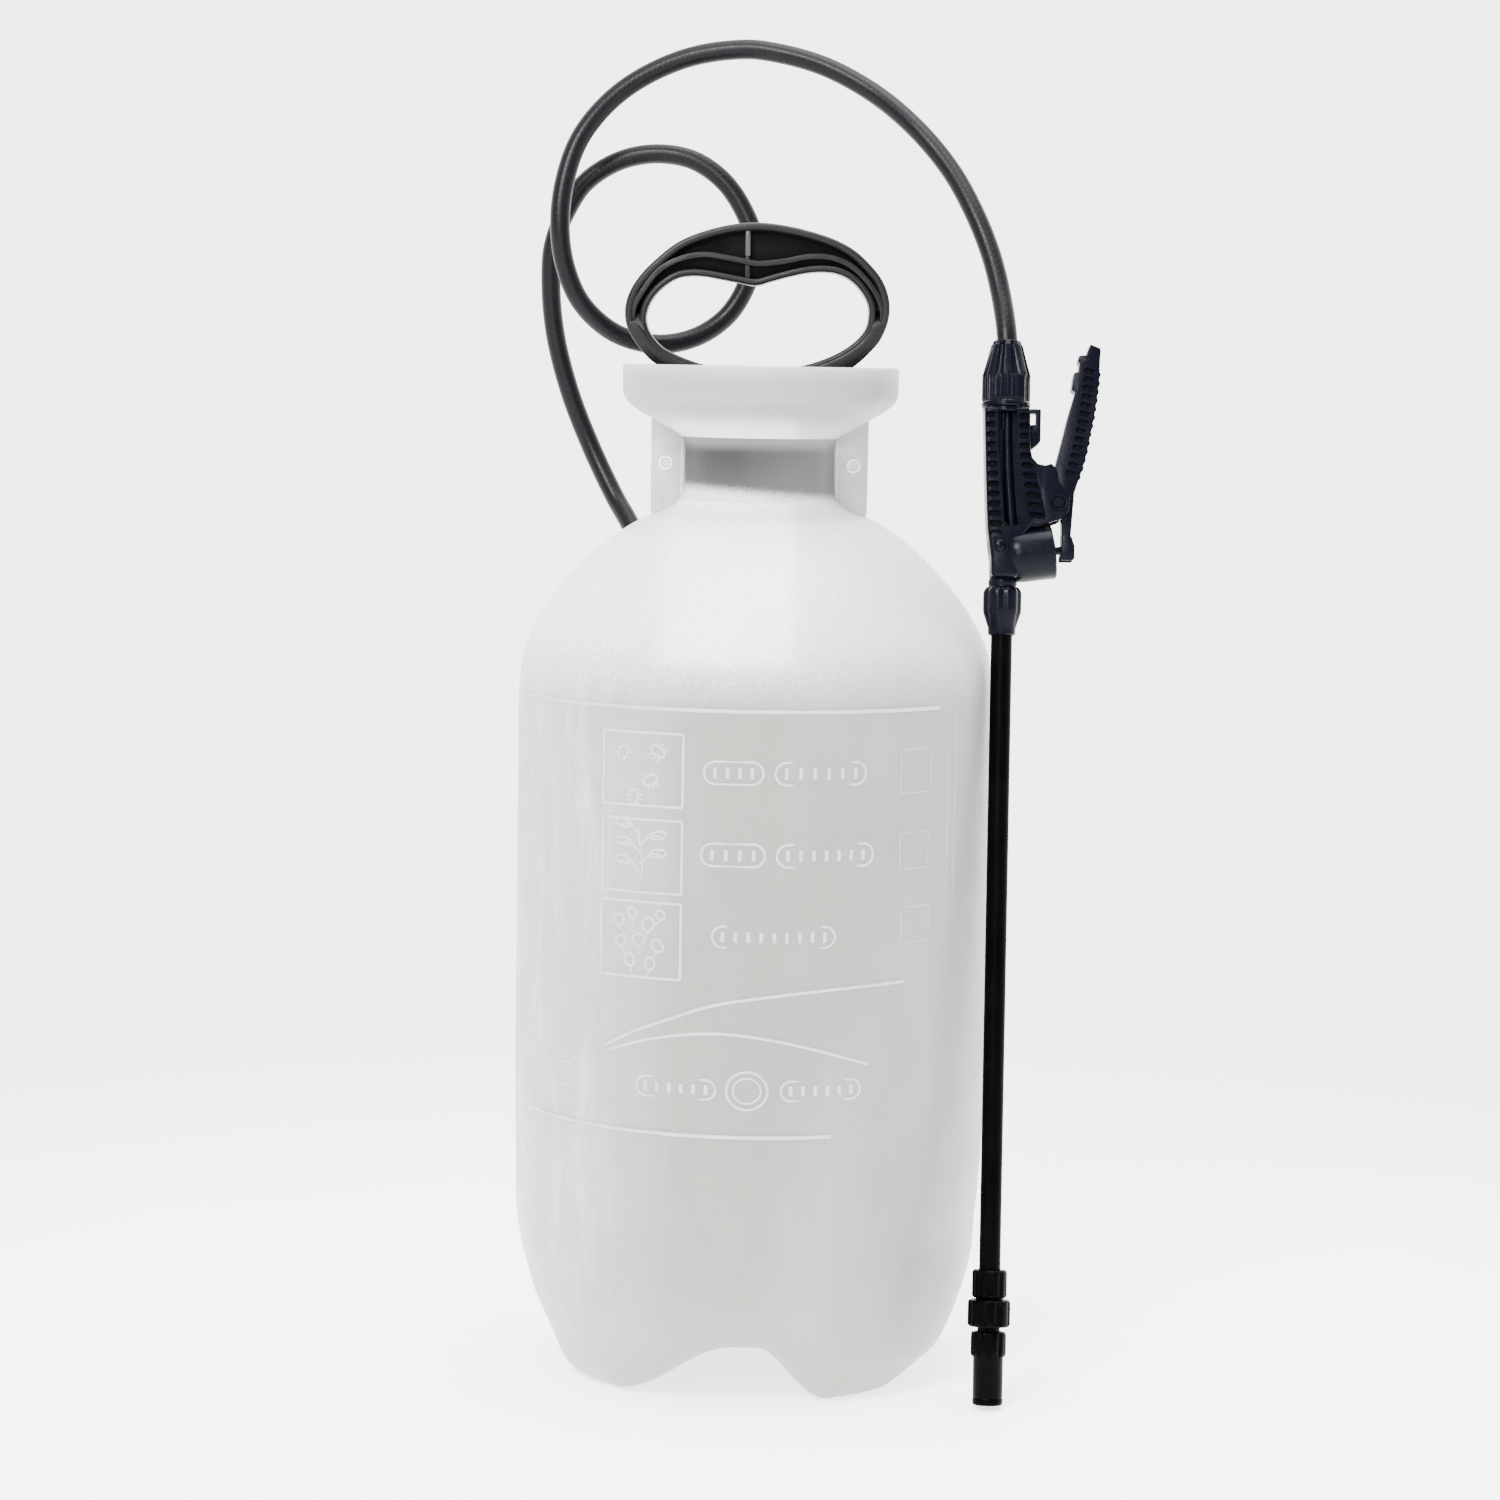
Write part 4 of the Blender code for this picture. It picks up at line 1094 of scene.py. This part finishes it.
def grip_body():
    """The grip: a column with a recess and slots on each side, collar, hook, cheeks and barrel."""
    outline = GRIP_LEFT + [(5.6, 324), (6.2, 332), (8, 341), (12, 346)] + COLUMN_OUT[::-1]
    body = plate("grip", outline, -HALF, HALF, GRIP, WAND)
    soften(body, 1.5, 3)
    for side in (-1, 1):
        far = side * 12
        cut(body, plate("recess", RECESS_LEFT + RECESS_RIGHT[::-1], *sorted((side * 3.6, far)), GRIP, WAND))
        tools = []
        for k in range(13):
            z = 388.2 - 3.93 * k
            left = at_height(GRIP_LEFT, z) + 0.45
            right = at_height(RECESS_LEFT, z) - 0.75
            tools.append(slot_tool((left + right) / 2, z, right - left, 2.5, 0, *sorted((side * 5.4, far))))
            if k < 11:
                left = at_height(RECESS_RIGHT, z) + 0.7
                right = at_height(COLUMN_OUT, z) - 0.35
                tools.append(slot_tool((left + right) / 2, z - 0.4, right - left, 2.5, -0.16 if k > 4 else 0,
                                       *sorted((side * 5.2, far))))
        cut(body, join("slots", tools))
    parts = [body]
    flow = [Vector((0.5 + 2.5 * t * t, 0, 390 - 46 * t)) for t in [k / 24 for k in range(25)]]
    parts.append(sweep("flow_tube", flow, lambda t: 2.6 + 0.5 * t, GRIP, WAND, 32, flat=1.9))
    parts.append(lathe("collar", [(5.9, 389.9), (8.8, 389.9), (9.1, 390.2), (9.1, 391.5), (5.9, 391.5)],
                       GRIP, WAND, 64))
    outline = [(8.6, 369.0), (10.2, 371.4), (9.9, 375.2), (12.0, 376.8), (13.9, 378.8), (13.9, 391.6),
               (13.4, 391.65), (9.0, 391.65), (9.0, 389.9), (11.9, 389.9), (11.9, 385.4), (9.7, 385.3),
               (8.6, 384)]
    parts.append(plate("hook", outline, -2.3, 2.3, GRIP, WAND, bevel=0.5))
    cheek_line = [(10.1, 371.5), (10.6, 371.3), (12.6, 369.1), (15.5, 368.5), (18.0, 369.3), (19.6, 367.6),
                  (20.6, 362.6), (23.2, 359.4), (25.4, 355.6), (25.0, 350.4), (21.6, 347.2), (17, 345.6),
                  (10, 343.9), (9.4, 346.9), (15.7, 347.4), (14.6, 352.5), (13.0, 359.9), (11.3, 366.4)]
    for side in (-1, 1):
        parts.append(plate("cheek", cheek_line, *sorted((side * 5.9, side * 7.6)), GRIP, WAND, bevel=0.6))
        here = WAND @ place((PIVOT[0], 0, PIVOT[1]), (90 * side, 0, 0))
        parts.append(lathe("boss", [(0, 6.3), (3.5, 6.3), (3.5, 8.0), (3.2, 8.5), (2.9, 8.5), (2.5, 8.1),
                                    (2.5, 7.0), (0, 7.0)], GRIP, here, 48))
    parts.append(lathe("barrel", [
        (0, -20.4), (5, -20.2), (8.0, -19.2), (9.8, -17.4), (10.6, -15.2), (VALVE_R, -13), (VALVE_R, -0.6),
        (VALVE_R - 0.5, 0), (6.2, 0), (6.2, -17), (0, -17)], GRIP, VALVE, 72))
    parts.append(lathe("neck", [
        (0, 321.2), (5.5, 321.2), (5.7, 321.6), (5.7, 323), (5.3, 324), (5.3, 345), (4.4, 346), (0, 346)],
        GRIP, WAND, 48))
    parts.append(lathe("spigot", [(1.8, 313.9), (5.5, 313.9), (5.5, 322), (1.8, 322)], GRIP, WAND, 48))
    for side in (-1, 1):
        here = WAND @ place((-1.9, 0, 336.3), (90 * side, 0, 0))
        parts.append(lathe("plug", [(0, 5.0), (2.7, 5.0), (2.7, 8.0), (2.4, 8.8), (1.6, 9.4), (0, 9.7)],
                           GRIP, here, 40))
    pad = [(-6.6, 344.4), (-6.2, 338.6), (-5.2, 331), (-5.0, 324), (3.6, 324), (3.6, 344.4)]
    parts.append(plate("pad", pad, -6.6, 6.6, GRIP, WAND, bevel=1.4))
    return join("gun_body_shape", parts)


gun = grip_body()
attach(gun, "tank")
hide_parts("gun_body")

LEVER_BACK = [(26.5, 333.2), (26.3, 341.2), (26.9, 350.7), (27.4, 358.0), (28.6, 362.1), (30.3, 367.2),
              (32.0, 373.6), (33.4, 381.2), (34.8, 388.8), (35.8, 396.0), (36.6, 404.4), (36.7, 411.0),
              (37.0, 416.0)]
LEVER_FRONT = [(32.7, 417.7), (31.2, 413.2), (28.3, 413.0), (27.9, 410.6), (28.7, 410.1), (28.3, 406.4),
               (26.5, 406.3), (25.5, 399.2), (27.2, 398.6), (24.4, 388.7), (20.6, 372.4), (19.4, 367.6),
               (18.0, 361.6), (17.3, 356.2), (17.3, 351.2), (19.6, 348.6), (22.6, 347.9), (22.7, 341.1),
               (22.9, 333.5)]


def trigger():
    """The lever: a slotted core with finger ripples down its back and a forked foot."""
    parts = []
    core = plate("core", LEVER_BACK + LEVER_FRONT, -4.6, 4.6, GRIP, WAND)
    soften(core, 0.7, 2)
    cut(core, box("fork", (20, -2.2, 325), (30, 2.2, 341.5), GRIP, WAND))
    parts.append(core)
    back = spline([(x, z, 0) for x, z in LEVER_BACK[4:12]], 8)
    ripples = []
    tools = []
    for k in range(13):
        z = 364.6 + 3.4 * k
        x = min(back, key=lambda p: abs(p.y - z)).x
        across = [Vector((x - 1.15, y, z)) for y in (-4.7, -4.2, 4.2, 4.7)]
        ripples.append(sweep("ripple", across, 1.5, GRIP, WAND, 20))
        for side in (-1, 1):
            tools.append(slot_tool(x - 3.5 - 0.04 * k, z + 1.3, 4.6, 2.35, -0.3,
                                   *sorted((side * 2.7, side * 12))))
    cut(core, join("slots", tools))
    parts += ripples
    foot = [(22.2, 331.4), (27.3, 331.4), (27.9, 332.3), (27.9, 337.2), (26.7, 340.6), (25.8, 341.5),
            (23.2, 341.5)]
    for side in (-1, 1):
        parts.append(plate("foot", foot, *sorted((side * 3.65, side * 4.7)), GRIP, WAND, bevel=0.4))
    return join("trigger_shape", parts)


stem = lathe("valve_stem_shape", [
    (0, -17.6), (1.9, -17.6), (1.9, -16.4), (5.6, -16.4), (5.6, -14.2), (1.6, -14.2), (1.6, 7.05),
    (3.0, 7.05), (3.2, 7.2), (3.2, 7.7), (2.8, 8.0), (0, 8.0)], GRIP, VALVE, 32)
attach(stem, "valve")
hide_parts("valve_stem")
coil = []
for step in range(41):
    angle = radians(36 * step)
    coil.append(Vector((SPRING_R * cos(angle), SPRING_R * sin(angle),
                        SPRING_LOW + (SPRING_TOP - SPRING_LOW) * step / 40)))
spring = sweep("valve_spring_shape", coil, 0.4, STEEL, VALVE, 10)
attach(spring, "tank")
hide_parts("valve_spring")
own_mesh(spring)
lever = trigger()
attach(lever, "trigger")
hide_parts("trigger_lever")


# ---------------- pump cap and outlet nut
def cap_ribs(angle, r, z):
    if r < 31 or not 381.4 < z < 385:
        return r
    return r - 0.9 * (0.5 + 0.5 * cos(24 * angle)) ** 0.5


pump_cap = lathe("pump_cap_shape", [
    (22.4, 352), (25.7, 352), (25.7, 380.8), (32.4, 380.8), (32.9, 381.2), (32.9, 382.2), (32.9, 383.4),
    (32.6, 384.8), (31.4, 385.8), (28.5, 386), (27.6, 385.2), (19.5, 385.2), (18.6, 386), (9.4, 386),
    (9.4, 374.1), (22.4, 374.1)], PUMP, SPRAYER, 144, cap_ribs)
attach(pump_cap, "pump")
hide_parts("pump_cap")


outlet_nut = lathe("tank_hose_nut_shape", [
    (8.6, 6.7), (9.0, 7.1), (9.0, 8), (9.0, 10), (9.0, 12), (9.0, 13.2), (8.6, 14.2), (6.6, 19.4), (6.0, 20),
    (4.4, 20), (4.4, 10.3), (5.5, 10.3), (5.5, 6.7)], PUMP, OUTLET_AT, 100,
    ribbed(10, 0.8, 6.6, 7.4, 14))
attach(outlet_nut, "tank")
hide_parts("tank_hose_nut")

# the pieces that keep the CAD's shape
FINISH = (
    (SEAL, "outlet_gasket wand_seal pump_gasket check_valve cup_seal valve_oring nozzle_oring"),
    (PUMP, "outlet_fitting outlet_locknut pump_barrel"),
    (CLEAR, "supply_tube strainer gun_filter"),
    (GRIP, "gun_hose_barb valve_gland lever_pin rod_guide barrel_foot plunger_head_upper plunger_head_lower"),
    (WANDS, "nozzle_core"),
    (HANDLE, "pump_rod"),
)
for mat, names in FINISH:
    for node_name in names.split():
        thing = nodes[node_name]
        thing.data.materials.clear()
        thing.data.materials.append(mat)


# ---------------- floor, light and camera
def backdrop():
    """White paper that glows more the further it is from the sprayer, so that no horizon shows."""
    n = Nodes("studio_white", 0.9)
    x, y, z = n.split()
    far = n.math("SQRT", n.math("ADD", n.times(x, x), n.times(y, y)))
    glow = n.ramp(far, 0.10, 0.75, 2.2, 4.6, True)
    grain = n.ramp(n.noise(3, 2, 0.5), 0.3, 0.7)
    tone = n.mix(n.fade(far, 0.15, 0.8), n.mix(grain, (0.93, 0.93, 0.93), (0.95, 0.95, 0.95)),
                 (0.0, 0.0, 0.0))
    n.set("Emission Color", (1.0, 1.0, 1.0, 1.0))
    n.link(glow, n.shader.inputs["Emission Strength"])
    n.set("Specular IOR Level", 0.0)
    return n.finish(tone)


FLOOR_REACH = 25.0
FLOOR_Z = -0.0002
paper = bpy.data.meshes.new("floor")
corners = ((-1, -1), (1, -1), (1, 1), (-1, 1))
paper.from_pydata([(x * FLOOR_REACH, y * FLOOR_REACH, FLOOR_Z) for x, y in corners], [], [(0, 1, 2, 3)])
paper.materials.append(backdrop())
floor = bpy.data.objects.new("floor", paper)
bpy.context.scene.collection.objects.link(floor)

world = bpy.data.worlds.new("studio")
bpy.context.scene.world = world
world.use_nodes = True
background = world.node_tree.nodes["Background"]
background.inputs["Color"].default_value = (1.0, 1.0, 1.0, 1.0)
where = world.node_tree.nodes.new("ShaderNodeTexCoord")
split = world.node_tree.nodes.new("ShaderNodeSeparateXYZ")
fade = world.node_tree.nodes.new("ShaderNodeMapRange")
for socket, value in (("From Min", -0.4), ("From Max", 0.6), ("To Min", 0.95), ("To Max", 4.6)):
    fade.inputs[socket].default_value = value
world.node_tree.links.new(where.outputs["Generated"], split.inputs[0])
world.node_tree.links.new(split.outputs[1], fade.inputs["Value"])
world.node_tree.links.new(fade.outputs["Result"], background.inputs["Strength"])


def area(name, location, target, size, power):
    data = bpy.data.lights.new(name, "AREA")
    data.shape = "RECTANGLE"
    data.size = data.size_y = size
    data.energy = power
    lamp = bpy.data.objects.new(name, data)
    lamp.location = location
    lamp.rotation_euler = (Vector(target) - Vector(location)).to_track_quat("-Z", "Y").to_euler()
    bpy.context.scene.collection.objects.link(lamp)


area("key", (-0.55, -1.1, 1.35), (-0.02, 0, 0.25), 0.45, 51)
area("top", (0.1, -0.1, 1.6), (0, 0, 0.3), 0.9, 34)
area("front", (-0.30, -1.45, 0.80), (0, 0, 0.40), 0.30, 10)

CAMERA_AT = (TANK_X - 1.9, -1500, 403)
CAMERA_DOWN = 5.86
CAMERA_ROLL = 0.95
CAMERA_LENS = 89.76
camera_data = bpy.data.cameras.new("camera")
camera_data.sensor_width = 36.0
camera_data.lens = CAMERA_LENS
camera = bpy.data.objects.new("camera", camera_data)
bpy.context.scene.collection.objects.link(camera)
camera.matrix_world = (Matrix.Translation(Vector(CAMERA_AT) * MM)
                       @ Matrix.Rotation(radians(90 - CAMERA_DOWN), 4, "X")
                       @ Matrix.Rotation(radians(CAMERA_ROLL), 4, "Z"))
bpy.context.scene.camera = camera
